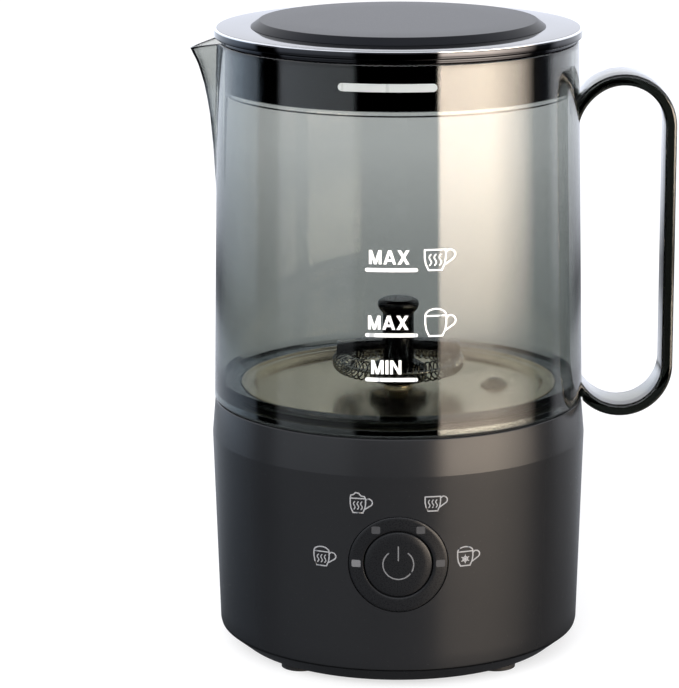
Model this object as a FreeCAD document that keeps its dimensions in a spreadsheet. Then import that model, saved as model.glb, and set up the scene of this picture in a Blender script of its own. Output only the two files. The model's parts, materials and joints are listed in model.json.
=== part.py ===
"""Milk frother with a lift-off clear jug, a lid and a magnetically driven coil whisk.

Everything is in millimetres.  The origin is on the jug axis at the level of the rubber foot,
+Z is up, the control ring faces -Y, the handle points to +X and the spout to -X.
Every driving size is a named cell of the sheet "Sizes"; sketches and features are bound to it.
"""
import FreeCAD, Part
import math
import os
import Sketcher

V = FreeCAD.Vector

# ---------------------------------------------------------------- driving sizes (mm, degrees)
SIZES = {
    # base housing: a slightly flared drum with a bevelled upper band
    "base_low_r": 56.4, "base_low_z": 7.1, "crease_r": 58.2, "crease_z": 68.2,
    "base_top_r": 57.2, "base_top_z": 79.6, "housing_wall": 2.4, "housing_lip_r": 55.5,
    # bottom cover and rubber foot
    "cover_low_r": 50.5, "cover_low_z": 2.3, "cover_top_r": 56.2, "cover_top_z": 6.9,
    "cover_floor_z": 4.5, "cover_lip_r": 53.7, "cover_lip_z": 11.0, "foot_in_r": 37.5,
    "foot_out_r": 44.0, "lobe_r": 6.0, "lobe_centre_r": 42.7,
    # top deck, heating plate and what hangs under it
    "deck_out_r": 55.2, "deck_in_r": 42.0, "deck_low_z": 77.2, "plate_r": 40.0,
    "plate_low_z": 77.6, "plate_top_z": 80.8, "element_r": 31.0, "element_tube_r": 3.0,
    "post_ring_r": 47.0, "post_r": 3.6, "bracket_top_z": 64.0, "bracket_low_z": 62.0,
    "bracket_r": 52.0,
    # motor and magnetic drive
    "motor_r": 17.5, "motor_low_z": 36.0, "motor_wall": 1.2, "shaft_r": 1.6,
    "shaft_fit": 0.05, "shaft_low_z": 34.0, "shaft_top_z": 72.5, "wheel_r": 14.0,
    "wheel_low_z": 67.0, "wheel_top_z": 72.0, "drive_magnet_r": 2.8, "drive_magnet_ring": 8.6,
    # electronics
    "board_z": 14.0, "board_t": 1.6, "board_half_x": 33.5, "board_low_y": -27.0,
    "board_high_y": 31.0, "panel_z": 41.0, "panel_y": 45.0, "panel_r": 15.0,
    # control ring on the front wall
    "button_r": 10.1, "ring_in_r": 10.5, "ring_out_r": 14.9, "ring_hole_r": 15.1,
    "button_stem_r": 2.5, "button_t": 3.0, "button_stem_end": 49.9, "window_ring_r": 12.6,
    "window_r": 1.25,
    # cord entry at the back
    "cord_z": 17.0, "cord_bore_r": 3.3, "gland_corner_r": 6.0, "gland_flange_r": 7.5,
    "gland_in_y": 49.5, "gland_wall_y": 57.1, "gland_out_y": 59.1, "clamp_y": 41.0,
    # jug
    "jug_low_r": 57.4, "jug_low_z": 80.0, "jug_top_r": 55.2, "jug_top_z": 191.0,
    "jug_in_top_r": 53.6, "jug_in_low_r": 55.6, "jug_bend_z": 93.0, "skirt_in_r": 55.7,
    "jug_floor_low_z": 82.1, "jug_floor_top_z": 83.7, "jug_floor_in_r": 49.6,
    "spout_tip_x": 63.2, "spout_half": 10.0,
    # handle: one flat strap bent into a rounded loop
    "handle_x": 68.9, "handle_in_r": 12.7, "handle_out_r": 16.2, "handle_top_z": 165.0,
    "handle_low_z": 90.3, "handle_half_w": 8.5,
    # heated dish in the jug floor
    "dish_rim_r": 49.3, "dish_in_r": 45.5, "dish_rim_z": 83.6, "dish_floor_z": 81.6,
    "dish_t": 0.8, "stud_x": 30.0, "stud_r": 4.3, "stud_h": 2.6, "ring_in_low_r": 46.7,
    "ring_out_low_r": 55.4, "ring_top_z": 82.0,
    # whisk, the pin it sits on and the bush between them
    "pin_r": 2.0, "pin_top_z": 102.0, "run_fit": 0.05, "bush_out_r": 3.0,
    "bush_low_z": 83.1, "bush_top_z": 103.4, "hub_r": 4.85, "hub_low_z": 84.0,
    "hub_top_z": 105.4, "hub_foot_r": 9.0, "hub_foot_z": 88.2, "coil_r": 17.4,
    "coil_z": 90.0, "coil_tube_r": 3.25, "coil_wire": 0.55, "core_wire_r": 0.6,
    "arm_half_w": 2.8, "arm_low_z": 93.5, "arm_top_z": 96.2, "arm_drop": 0.9,
    "arm_end_r": 19.2, "lug_in_r": 15.9, "knob_r": 6.5, "knob_low_z": 105.4,
    "knob_top_z": 110.0, "whisk_magnet_r": 1.7, "whisk_magnet_ring": 6.2,
    # lid
    "lid_r": 56.2, "lid_low_z": 192.2, "lid_top_z": 195.0, "pad_low_r": 45.2,
    "pad_top_r": 42.4, "pad_top_z": 197.1, "lid_skirt_r": 53.2, "lid_skirt_wall": 1.5,
    "lid_skirt_z": 177.0, "shoulder_r": 54.6, "seal_z": 175.2, "seal_r": 53.25,
    "bar_z": 183.9, "bar_h": 2.4, "bar_angle": 30.8, "bar_turn": -3.3, "bar_t": 0.15,
}


class Size:
    """A size that carries its number and the sheet formula it comes from."""

    def __init__(self, number, formula):
        self.number = number
        self.formula = formula

    def __add__(self, other):
        other = as_size(other)
        return Size(self.number + other.number, f"({self.formula} + {other.formula})")

    def __sub__(self, other):
        other = as_size(other)
        return Size(self.number - other.number, f"({self.formula} - {other.formula})")

    def __mul__(self, factor):
        return Size(self.number * factor, f"({self.formula} * {factor})")

    def __neg__(self):
        return Size(-self.number, f"(0 - {self.formula})")


def as_size(value):
    """Plain numbers become sizes too, so that the helpers can treat both alike."""
    if isinstance(value, Size):
        return value
    return Size(float(value), repr(float(value)))


def make_sheet(doc):
    """Write SIZES into a spreadsheet, one aliased cell per size."""
    sheet = doc.addObject("Spreadsheet::Sheet", "Sizes")
    for row, (name, number) in enumerate(SIZES.items(), start=1):
        sheet.set(f"A{row}", name)
        sheet.set(f"B{row}", str(number))
        sheet.setAlias(f"B{row}", name)
    doc.recompute()
    return sheet


def size(name):
    """The sheet size called name."""
    return Size(SIZES[name], f"Sizes.{name}")


def bind(item, prop, value):
    """Set a property and, where the value comes from the sheet, keep the formula on it."""
    value = as_size(value)
    setattr(item, prop, value.number)
    item.setExpression(prop, value.formula)


def between(low, high, share):
    """The size lying a given share of the way from low to high."""
    return low + (high - low) * share


def wall_radius(low_r, low_z, high_r, high_z, at_z):
    """Radius of a straight tapering wall at the height at_z."""
    share = (as_size(at_z).number - low_z.number) / (high_z.number - low_z.number)
    return between(low_r, high_r, round(share, 5))


# ---------------------------------------------------------------- sketching
def new_body(doc, name):
    body = doc.addObject("PartDesign::Body", name)
    body.Label = name
    return body


def new_sketch(body, name, role="XZ_Plane", offset=None):
    """A sketch on one of the body's own origin planes, moved along its normal by offset."""
    sketch = body.newObject("Sketcher::SketchObject", name)
    plane = [item for item in body.Origin.OriginFeatures if item.Role == role][0]
    sketch.AttachmentSupport = (plane, [""])
    sketch.MapMode = "FlatFace"
    if offset is not None:
        offset = as_size(offset)
        sketch.AttachmentOffset = FreeCAD.Placement(V(0, 0, offset.number), FreeCAD.Rotation())
        sketch.setExpression("AttachmentOffset.Base.z", offset.formula)
    return sketch


def drive(sketch, constraint, value):
    """Add a constraint and bind its value to the sheet."""
    index = sketch.addConstraint(constraint)
    if isinstance(value, Size):
        sketch.setExpression(f"Constraints[{index}]", value.formula)


def pin_point(sketch, item, point, x, y):
    """Hold one point of a sketch at x, y from the sketch origin."""
    at_x, at_y = as_size(x), as_size(y)
    if abs(at_x.number) < 1e-9:
        sketch.addConstraint(Sketcher.Constraint("PointOnObject", item, point, -2))
    else:
        drive(sketch, Sketcher.Constraint("DistanceX", -1, 1, item, point, at_x.number), x)
    if abs(at_y.number) < 1e-9:
        sketch.addConstraint(Sketcher.Constraint("PointOnObject", item, point, -1))
    else:
        drive(sketch, Sketcher.Constraint("DistanceY", -1, 1, item, point, at_y.number), y)


def outline(sketch, points):
    """A closed polygon through the points, every corner driven."""
    corners = [V(as_size(x).number, as_size(y).number, 0) for x, y in points]
    lines = []
    for index, corner in enumerate(corners):
        following = corners[(index + 1) % len(corners)]
        lines.append(sketch.addGeometry(Part.LineSegment(corner, following), False))
    for index, line in enumerate(lines):
        following = lines[(index + 1) % len(lines)]
        sketch.addConstraint(Sketcher.Constraint("Coincident", line, 2, following, 1))
        pin_point(sketch, line, 1, points[index][0], points[index][1])


def circle(sketch, x, y, radius):
    """A driven circle."""
    at = V(as_size(x).number, as_size(y).number, 0)
    item = sketch.addGeometry(Part.Circle(at, V(0, 0, 1), as_size(radius).number), False)
    drive(sketch, Sketcher.Constraint("Radius", item, as_size(radius).number), radius)
    if as_size(x).number == 0 and as_size(y).number == 0:
        sketch.addConstraint(Sketcher.Constraint("Coincident", item, 3, -1, 1))
    else:
        pin_point(sketch, item, 3, x, y)


def hexagon(sketch, at_y, corner_r):
    """A six-sided outline on the upright axis, so that what fits it can't turn."""
    rise = corner_r * 0.8660254
    outline(sketch, [(corner_r, at_y), (corner_r * 0.5, at_y + rise),
                     (corner_r * -0.5, at_y + rise), (corner_r * -1.0, at_y),
                     (corner_r * -0.5, at_y - rise), (corner_r * 0.5, at_y - rise)])


def obround(sketch, x, low_y, high_y, radius):
    """An upright slot outline: two half circles joined by two straight sides."""
    at_x, low, high, rad = [as_size(value) for value in (x, low_y, high_y, radius)]
    top = Part.Circle(V(at_x.number, high.number, 0), V(0, 0, 1), rad.number)
    bottom = Part.Circle(V(at_x.number, low.number, 0), V(0, 0, 1), rad.number)
    upper = sketch.addGeometry(Part.ArcOfCircle(top, 0, math.pi), False)
    lower = sketch.addGeometry(Part.ArcOfCircle(bottom, math.pi, 2 * math.pi), False)
    left_x, right_x = at_x.number - rad.number, at_x.number + rad.number
    left = sketch.addGeometry(
        Part.LineSegment(V(left_x, high.number, 0), V(left_x, low.number, 0)), False)
    right = sketch.addGeometry(
        Part.LineSegment(V(right_x, low.number, 0), V(right_x, high.number, 0)), False)
    for first, first_end, second, second_end in (
            (upper, 2, left, 1), (left, 2, lower, 1), (lower, 2, right, 1), (right, 2, upper, 1)):
        sketch.addConstraint(Sketcher.Constraint("Tangent", first, first_end, second, second_end))
    pin_point(sketch, upper, 3, x, high_y)
    drive(sketch, Sketcher.Constraint("DistanceY", -1, 1, lower, 3, low.number), low_y)
    drive(sketch, Sketcher.Constraint("Radius", upper, rad.number), radius)


# ---------------------------------------------------------------- features
def revolve(body, points, name="Turned", angle=360.0, cut=False, turn=None):
    """Turn a closed outline in the XZ plane about the Z axis, adding or cutting."""
    sketch = new_sketch(body, name + "Sketch")
    outline(sketch, points)
    return turn_sketch(body, sketch, name, angle, cut)


def turn_sketch(body, sketch, name="Turned", angle=360.0, cut=False):
    """Turn a finished sketch about its own vertical axis."""
    kind = "PartDesign::Groove" if cut else "PartDesign::Revolution"
    feature = body.newObject(kind, name)
    feature.Profile = sketch
    feature.ReferenceAxis = (sketch, ["V_Axis"])
    feature.Angle = angle
    return feature


def pad(body, sketch, length, name="Pad"):
    """Pad a sketch along its own normal."""
    feature = body.newObject("PartDesign::Pad", name)
    feature.Profile = sketch
    bind(feature, "Length", length)
    return feature


def pocket(body, sketch, length, name="Pocket"):
    """Cut a sketch along its own normal; a pocket's normal direction is reversed first."""
    feature = body.newObject("PartDesign::Pocket", name)
    feature.Profile = sketch
    feature.Reversed = True
    bind(feature, "Length", length)
    return feature


def around(body, feature, sketch, count, name="Around", axis="N_Axis"):
    """Repeat a feature evenly about the sketch's normal through the origin."""
    pattern = body.newObject("PartDesign::PolarPattern", name)
    pattern.Originals = [feature]
    pattern.Axis = (sketch, [axis])
    pattern.Angle = 360
    pattern.Occurrences = count
    body.Tip = pattern
    return pattern


def disc(body, radius, low_z, high_z, x=0.0, y=0.0, name="Disc"):
    """An upright cylinder standing between two heights."""
    sketch = new_sketch(body, name + "Sketch", "XY_Plane", low_z)
    circle(sketch, x, y, radius)
    return pad(body, sketch, as_size(high_z) - low_z, name), sketch


def bore(body, radius, low_z, high_z, x=0.0, y=0.0, name="Bore"):
    """An upright round hole between two heights."""
    sketch = new_sketch(body, name + "Sketch", "XY_Plane", low_z)
    circle(sketch, x, y, radius)
    return pocket(body, sketch, as_size(high_z) - low_z, name), sketch


def slab(body, low, high, name="Slab", cut=False):
    """A box between two corners, padded or pocketed upward from its lower face."""
    sketch = new_sketch(body, name + "Sketch", "XY_Plane", low[2])
    outline(sketch, [(low[0], low[1]), (high[0], low[1]), (high[0], high[1]), (low[0], high[1])])
    height = as_size(high[2]) - low[2]
    make = pocket if cut else pad
    return make(body, sketch, height, name), sketch


def fillet_where(body, feature, radius, wanted, name="Rounding"):
    """Round those edges of a feature whose middle point passes the test."""
    body.Document.recompute()
    names = []
    for index, edge in enumerate(feature.Shape.Edges, start=1):
        middle = edge.valueAt((edge.FirstParameter + edge.LastParameter) / 2)
        if wanted(edge, middle):
            names.append(f"Edge{index}")
    rounding = body.newObject("PartDesign::Fillet", name)
    rounding.Base = (feature, names)
    bind(rounding, "Radius", radius)
    return rounding


# ---------------------------------------------------------------- shared profiles
def housing_r(at_z):
    """Outer radius of the base housing at a height."""
    if as_size(at_z).number <= SIZES["crease_z"]:
        return wall_radius(size("base_low_r"), size("base_low_z"), size("crease_r"),
                           size("crease_z"), at_z)
    return wall_radius(size("crease_r"), size("crease_z"), size("base_top_r"),
                       size("base_top_z"), at_z)


def jug_r(at_z):
    """Outer radius of the jug wall at a height."""
    return wall_radius(size("jug_low_r"), size("jug_low_z"), size("jug_top_r"),
                       size("jug_top_z"), at_z)


def limit_to_front_wall(body):
    """Trim a front control piece to the housing's own curved outer face."""
    reach = 90.0
    low, high = size("base_low_z"), size("crease_z")
    revolve(body, [(size("base_low_r"), low), (reach, low), (reach, high),
                   (size("crease_r"), high)], "OuterTrim", cut=True)


# ---------------------------------------------------------------- base
def base_housing(doc):
    body = new_body(doc, "base_housing")
    wall = size("housing_wall")
    revolve(body, [
        (size("base_low_r"), size("base_low_z")), (size("crease_r"), size("crease_z")),
        (size("base_top_r"), size("base_top_z")), (size("housing_lip_r"), size("base_top_z")),
        (size("housing_lip_r"), size("deck_low_z")), (size("crease_r") - wall, size("crease_z")),
        (size("base_low_r") - wall, size("base_low_z"))], "Wall")
    # three screw posts joined to the wall
    post, sketch = slab(body, (-3.5, -55.0, 11.6), (3.5, -43.0, 26.0), "ScrewPost")
    around(body, post, sketch, 3, "ScrewPosts")
    hole, sketch = bore(body, 1.3, 11.6, 24.0, 0.0, -47.0, "PilotHole")
    around(body, hole, sketch, 3, "PilotHoles")
    # round opening for the control ring in the front wall
    sketch = new_sketch(body, "RingOpeningSketch", "XZ_Plane", 46.0)
    circle(sketch, 0.0, size("panel_z"), size("ring_hole_r"))
    pocket(body, sketch, 20.0, "RingOpening")
    # six-sided cord opening in the back wall
    sketch = new_sketch(body, "CordOpeningSketch", "XZ_Plane", -70.0)
    hexagon(sketch, size("cord_z"), size("gland_corner_r"))
    pocket(body, sketch, 20.0, "CordOpening")
    return body


def bottom_cover(doc):
    body = new_body(doc, "bottom_cover")
    revolve(body, [
        (0.0, size("cover_low_z")), (size("cover_low_r"), size("cover_low_z")),
        (size("cover_top_r"), size("cover_top_z")), (size("cover_lip_r"), size("cover_top_z")),
        (size("cover_lip_r"), size("cover_lip_z")), (52.2, size("cover_lip_z")), (52.2, 7.0),
        (49.3, size("cover_floor_z")), (0.0, size("cover_floor_z"))], "Pan")
    boss, sketch = disc(body, 4.4, size("cover_floor_z"), 11.4, 0.0, -47.0, "ScrewBoss")
    around(body, boss, sketch, 3, "ScrewBosses")
    sink, sketch = bore(body, 2.9, size("cover_low_z"), 6.5, 0.0, -47.0, "HeadSink")
    around(body, sink, sketch, 3, "HeadSinks")
    hole, sketch = bore(body, 1.5, 6.5, 11.4, 0.0, -47.0, "ScrewHole")
    around(body, hole, sketch, 3, "ScrewHoles")
    # four pillars under the power board and the saddle under the cord
    for index, (side, depth) in enumerate(((-1, "board_low_y"), (1, "board_low_y"),
                                           (-1, "board_high_y"), (1, "board_high_y"))):
        inward = 4.0 if depth == "board_low_y" else -4.0
        disc(body, 2.8, size("cover_floor_z"), size("board_z"),
             (size("board_half_x") - 4.0) * side, size(depth) + inward, f"Pillar{index}")
    slab(body, (-11.0, size("clamp_y") - 3.0, size("cover_floor_z")),
         (11.0, size("clamp_y") + 3.0, size("cord_z") - size("cord_bore_r")), "Saddle")
    for index, side in enumerate((-1, 1)):
        bore(body, 1.3, 6.0, size("cord_z") - size("cord_bore_r"), 8.0 * side,
             size("clamp_y"), f"SaddleHole{index}")
    return body


def foot_ring(doc):
    body = new_body(doc, "foot_ring")
    disc(body, size("foot_out_r"), 0.0, size("cover_low_z"), name="Ring")
    half = 0.70710678
    lobe, sketch = disc(body, size("lobe_r"), 0.0, size("cover_low_z"),
                        size("lobe_centre_r") * half, size("lobe_centre_r") * half, "Lobe")
    around(body, lobe, sketch, 4, "Lobes")
    bore(body, size("foot_in_r"), 0.0, size("cover_low_z"), name="Middle")
    return body


def base_deck(doc):
    body = new_body(doc, "base_deck")
    revolve(body, [
        (size("deck_in_r"), size("deck_low_z")), (size("deck_out_r"), size("deck_low_z")),
        (size("deck_out_r"), size("base_top_z")), (size("deck_in_r"), size("base_top_z"))],
        "Deck")
    post, sketch = disc(body, size("post_r"), size("bracket_top_z"), size("deck_low_z") + 0.5,
                        0.0, size("post_ring_r"), "Post")
    around(body, post, sketch, 3, "Posts")
    hole, sketch = bore(body, 1.3, size("bracket_top_z"), size("deck_low_z") - 2.0,
                        0.0, size("post_ring_r"), "PostHole")
    around(body, hole, sketch, 3, "PostHoles")
    return body


def heater_plate(doc):
    body = new_body(doc, "heater_plate")
    disc(body, size("plate_r"), size("plate_low_z"), size("plate_top_z"), name="Plate")
    bore(body, 3.2, size("plate_low_z"), size("plate_top_z"), size("stud_x"), 0.0, "SensorHole")
    return body


def heater_seal(doc):
    body = new_body(doc, "heater_seal")
    revolve(body, [
        (size("plate_r"), 76.4), (size("deck_in_r"), 76.4), (size("deck_in_r"), 79.3),
        (size("plate_r"), 79.9)], "Ring")
    return body


def heating_element(doc):
    """An open ring of tubular heater with two terminal legs pointing down."""
    body = new_body(doc, "heating_element")
    tube = size("element_tube_r")
    centre_z = size("plate_low_z") - tube
    sketch = new_sketch(body, "TubeSketch", "XZ_Plane")
    circle(sketch, size("element_r"), centre_z, tube)
    turn_sketch(body, sketch, "Tube", 300.0)
    element = SIZES["element_r"]
    for index, angle in enumerate((2.0, -62.0)):
        turn = math.radians(angle)
        disc(body, 1.6, centre_z - 10.0, centre_z,
             size("element_r") * round(math.cos(turn), 5),
             size("element_r") * round(math.sin(turn), 5), f"Terminal{index}")
    # the gap of the ring straddles the temperature sensor on the +X side
    body.Placement = FreeCAD.Placement(V(0, 0, 0), FreeCAD.Rotation(V(0, 0, 1), 30))
    return body


def temperature_sensor(doc):
    body = new_body(doc, "temperature_sensor")
    disc(body, 2.6, 70.0, size("plate_top_z"), size("stud_x"), 0.0, "Probe")
    disc(body, 4.2, 70.0, 73.0, size("stud_x"), 0.0, "Collar")
    return body


def thermal_fuse(doc):
    body = new_body(doc, "thermal_fuse")
    sketch = new_sketch(body, "FuseSketch", "YZ_Plane", -6.0)
    circle(sketch, -21.5, size("plate_low_z") - 2.0, 2.0)
    pad(body, sketch, 12.0, "Fuse")
    sketch = new_sketch(body, "LeadSketch", "YZ_Plane", -12.0)
    circle(sketch, -21.5, size("plate_low_z") - 2.0, 0.5)
    pad(body, sketch, 24.0, "Leads")
    return body


def motor_can(doc):
    body = new_body(doc, "motor_can")
    wall, radius = size("motor_wall"), size("motor_r")
    low, high = size("motor_low_z"), size("bracket_low_z")
    bearing = size("shaft_r") + size("shaft_fit")
    revolve(body, [
        (bearing, low - 3.0), (6.0, low - 3.0), (6.0, low), (radius, low), (radius, high),
        (bearing, high), (bearing, high - 4.0), (5.0, high - 4.0), (5.0, high - wall),
        (radius - wall, high - wall), (radius - wall, low + wall), (bearing, low + wall)], "Can")
    hole, sketch = bore(body, 1.3, high - wall, high, 0.0, 10.0, "ScrewHole")
    around(body, hole, sketch, 2, "ScrewHoles")
    return body


def motor_bracket(doc):
    body = new_body(doc, "motor_bracket")
    low, high = size("bracket_low_z"), size("bracket_top_z")
    disc(body, 20.0, low, high, name="Centre")
    arm, sketch = slab(body, (-6.0, 10.0, low), (6.0, size("bracket_r"), high), "Arm")
    around(body, arm, sketch, 3, "Arms")
    bore(body, 5.0, low, high, name="ShaftHole")
    hole, sketch = bore(body, 1.6, low, high, 0.0, 10.0, "MotorHole")
    around(body, hole, sketch, 2, "MotorHoles")
    hole, sketch = bore(body, 1.6, low, high, 0.0, size("post_ring_r"), "PostHole")
    around(body, hole, sketch, 3, "PostHoles")
    return body


def screws(doc, name, count, ring, head_low, head_high, tip_z, phase=90.0):
    """A set of like screws standing on a circle; the head is the wider part."""
    body = new_body(doc, name)
    turn = math.radians(phase)
    x, y = round(math.cos(turn), 6), round(math.sin(turn), 6)
    low, high = as_size(head_low), as_size(head_high)
    tip = as_size(tip_z)
    start, length = (high, tip - high) if tip.number > high.number else (tip, low - tip)
    head, sketch = disc(body, 2.5, low, high, as_size(ring) * x, as_size(ring) * y, "Head")
    around(body, head, sketch, count, "Heads")
    shank, sketch = disc(body, 1.2, start, start + length, as_size(ring) * x,
                         as_size(ring) * y, "Shank")
    around(body, shank, sketch, count, "Shanks")
    return body


def power_board(doc):
    body = new_body(doc, "power_board")
    half = size("board_half_x")
    slab(body, (-half, size("board_low_y"), size("board_z")),
         (half, size("board_high_y"), size("board_z") + size("board_t")), "Board")
    return body


def board_item(doc, name, low, high):
    """A block standing on the power board: corners in X and Y, height above the board."""
    body = new_body(doc, name)
    top = size("board_z") + size("board_t")
    slab(body, (low[0], low[1], top), (high[0], high[1], top + high[2]), "Block")
    return body


def capacitor(doc):
    body = new_body(doc, "capacitor")
    top = size("board_z") + size("board_t")
    disc(body, 5.0, top, top + 13.0, -26.0, 17.0, "Can")
    return body


def transformer(doc):
    """A small wound core: bobbin block with a coil bulging from it."""
    body = board_item(doc, "transformer", (10.0, 4.0), (32.0, 24.0, 15.0))
    top = size("board_z") + size("board_t")
    slab(body, (13.0, 1.5, top + 4.0), (29.0, 26.5, top + 11.0), "Winding")
    return body


def control_board(doc):
    body = new_body(doc, "control_board")
    sketch = new_sketch(body, "BoardSketch", "XZ_Plane", size("panel_y") - size("board_t"))
    circle(sketch, 0.0, size("panel_z"), size("panel_r"))
    pad(body, sketch, size("board_t"), "Board")
    return body


def tact_switch(doc):
    body = new_body(doc, "tact_switch")
    half = 3.0
    sketch = new_sketch(body, "CaseSketch", "XZ_Plane", size("panel_y"))
    low, high = size("panel_z") - half, size("panel_z") + half
    outline(sketch, [(-half, low), (half, low), (half, high), (-half, high)])
    pad(body, sketch, 2.6, "Block")
    sketch = new_sketch(body, "PlungerSketch", "XZ_Plane", size("panel_y") + 2.6)
    circle(sketch, 0.0, size("panel_z"), 1.7)
    pad(body, sketch, 1.2, "Plunger")
    return body


def window_spot(index):
    """Where the indicator windows sit on the control ring: sketch x and height."""
    angle = math.radians((0.0, 58.0, 122.0, 180.0)[index])
    ring = size("window_ring_r")
    across, up = round(math.cos(angle), 5), round(math.sin(angle), 5)
    return ring * across, size("panel_z") + ring * up


def indicator_leds(doc):
    body = new_body(doc, "indicator_leds")
    for index in range(4):
        x, z = window_spot(index)
        sketch = new_sketch(body, f"LampSketch{index}", "XZ_Plane", size("panel_y"))
        outline(sketch, [(x - 1.5, z - 1.5), (x + 1.5, z - 1.5), (x + 1.5, z + 1.5),
                         (x - 1.5, z + 1.5)])
        pad(body, sketch, 1.6, f"Lamp{index}")
    return body


def control_ring(doc):
    """The flush ring around the button, with a hollow back reaching to the board."""
    body = new_body(doc, "control_ring")
    sketch = new_sketch(body, "RingSketch", "XZ_Plane", 51.5)
    circle(sketch, 0.0, size("panel_z"), size("ring_out_r"))
    circle(sketch, 0.0, size("panel_z"), size("ring_in_r"))
    pad(body, sketch, 12.0, "Ring")
    limit_to_front_wall(body)
    for index in range(4):
        x, z = window_spot(index)
        sketch = new_sketch(body, f"WindowSketch{index}", "XZ_Plane", 51.0)
        circle(sketch, x, z, size("window_r"))
        pocket(body, sketch, 12.0, f"Window{index}")
    for index, (x, z) in enumerate(((0.0, -12.7), (-11.7, 5.0), (11.7, 5.0))):
        sketch = new_sketch(body, f"StandSketch{index}", "XZ_Plane", size("panel_y"))
        circle(sketch, x, size("panel_z") + z, 1.6)
        pad(body, sketch, 8.0, f"Stand{index}")
    return body


def light_windows(doc):
    body = new_body(doc, "light_windows")
    for index in range(4):
        x, z = window_spot(index)
        sketch = new_sketch(body, f"PinSketch{index}", "XZ_Plane", 48.0)
        circle(sketch, x, z, size("window_r"))
        pad(body, sketch, 14.0, f"Pin{index}")
    limit_to_front_wall(body)
    return body


def power_button(doc):
    body = new_body(doc, "power_button")
    sketch = new_sketch(body, "CapSketch", "XZ_Plane", 54.6)
    circle(sketch, 0.0, size("panel_z"), size("button_r"))
    pad(body, sketch, 8.0, "Cap")
    sketch = new_sketch(body, "StemSketch", "XZ_Plane", size("button_stem_end"))
    circle(sketch, 0.0, size("panel_z"), size("button_stem_r"))
    pad(body, sketch, 6.0, "Stem")
    limit_to_front_wall(body)
    return body


def cord_gland(doc):
    body = new_body(doc, "cord_gland")
    sketch = new_sketch(body, "SleeveSketch", "XZ_Plane", -size("gland_out_y"))
    circle(sketch, 0.0, size("cord_z"), size("gland_flange_r"))
    pad(body, sketch, size("gland_out_y") - size("gland_wall_y"), "Flange")
    sketch = new_sketch(body, "BarrelSketch", "XZ_Plane", -size("gland_wall_y"))
    hexagon(sketch, size("cord_z"), size("gland_corner_r"))
    pad(body, sketch, size("gland_wall_y") - size("gland_in_y"), "Barrel")
    sketch = new_sketch(body, "CordBoreSketch", "XZ_Plane", -size("gland_out_y"))
    circle(sketch, 0.0, size("cord_z"), size("cord_bore_r"))
    pocket(body, sketch, size("gland_out_y") - size("gland_in_y"), "CordBore")
    return body


def cord_clamp(doc):
    body = new_body(doc, "cord_clamp")
    low = size("cord_z") + size("cord_bore_r")
    slab(body, (-11.0, size("clamp_y") - 3.0, low), (11.0, size("clamp_y") + 3.0, low + 2.5),
         "Bar")
    slab(body, (-11.0, size("clamp_y") - 3.0, size("cord_z") - size("cord_bore_r")),
         (-5.0, size("clamp_y") + 3.0, low), "LegLeft")
    slab(body, (5.0, size("clamp_y") - 3.0, size("cord_z") - size("cord_bore_r")),
         (11.0, size("clamp_y") + 3.0, low), "LegRight")
    for index, side in enumerate((-1, 1)):
        bore(body, 1.5, size("cord_z") - size("cord_bore_r"), low + 2.5, 8.0 * side,
             size("clamp_y"), f"Hole{index}")
    return body


def clamp_screws(doc):
    body = new_body(doc, "clamp_screws")
    seat_z = size("cord_z") + size("cord_bore_r") + 2.5
    for index, side in enumerate((-1, 1)):
        disc(body, 2.5, seat_z, seat_z + 1.6, 8.0 * side, size("clamp_y"), f"Head{index}")
        disc(body, 1.2, 7.0, seat_z, 8.0 * side, size("clamp_y"), f"Shank{index}")
    return body


# ---------------------------------------------------------------- rotor
def motor_shaft(doc):
    body = new_body(doc, "motor_shaft")
    disc(body, size("shaft_r"), size("shaft_low_z"), size("shaft_top_z"), name="Shaft")
    return body


def motor_armature(doc):
    body = new_body(doc, "motor_armature")
    disc(body, 13.0, 41.0, 54.0, name="Core")
    notch, sketch = slab(body, (-1.2, 8.0, 41.0), (1.2, 13.5, 54.0), "Slot", cut=True)
    around(body, notch, sketch, 6, "Slots")
    bore(body, size("shaft_r"), 41.0, 54.0, name="ShaftBore")
    return body


def magnet_wheel(doc):
    body = new_body(doc, "magnet_wheel")
    low, high = size("wheel_low_z"), size("wheel_top_z")
    disc(body, size("wheel_r"), low, high, name="Wheel")
    hole, sketch = bore(body, size("drive_magnet_r"), low + 1.5, high,
                        size("drive_magnet_ring"), 0.0, "MagnetPocket")
    around(body, hole, sketch, 4, "MagnetPockets")
    bore(body, size("shaft_r"), low, high, name="ShaftBore")
    return body


def drive_magnets(doc):
    body = new_body(doc, "drive_magnets")
    magnet, sketch = disc(body, size("drive_magnet_r"), size("wheel_low_z") + 1.5,
                          size("wheel_top_z"), size("drive_magnet_ring"), 0.0, "Magnet")
    around(body, magnet, sketch, 4, "Magnets")
    return body


# ---------------------------------------------------------------- jug
def beak_section(body, name, at_z, offset, half, inset):
    """One level of the spout: a triangle from the wall out to the tip."""
    sketch = new_sketch(body, name, "XY_Plane", at_z)
    tip = jug_r(at_z) + offset
    root = size("spout_tip_x") - 15.0 - inset * 2
    outline(sketch, [(-tip, 0.0), (-root, -half), (-root, half)])
    return sketch


def loft(body, sketches, name, cut=False):
    kind = "PartDesign::SubtractiveLoft" if cut else "PartDesign::AdditiveLoft"
    feature = body.newObject(kind, name)
    feature.Profile = sketches[0]
    feature.Sections = sketches[1:]
    feature.Ruled = True
    return feature


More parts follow.
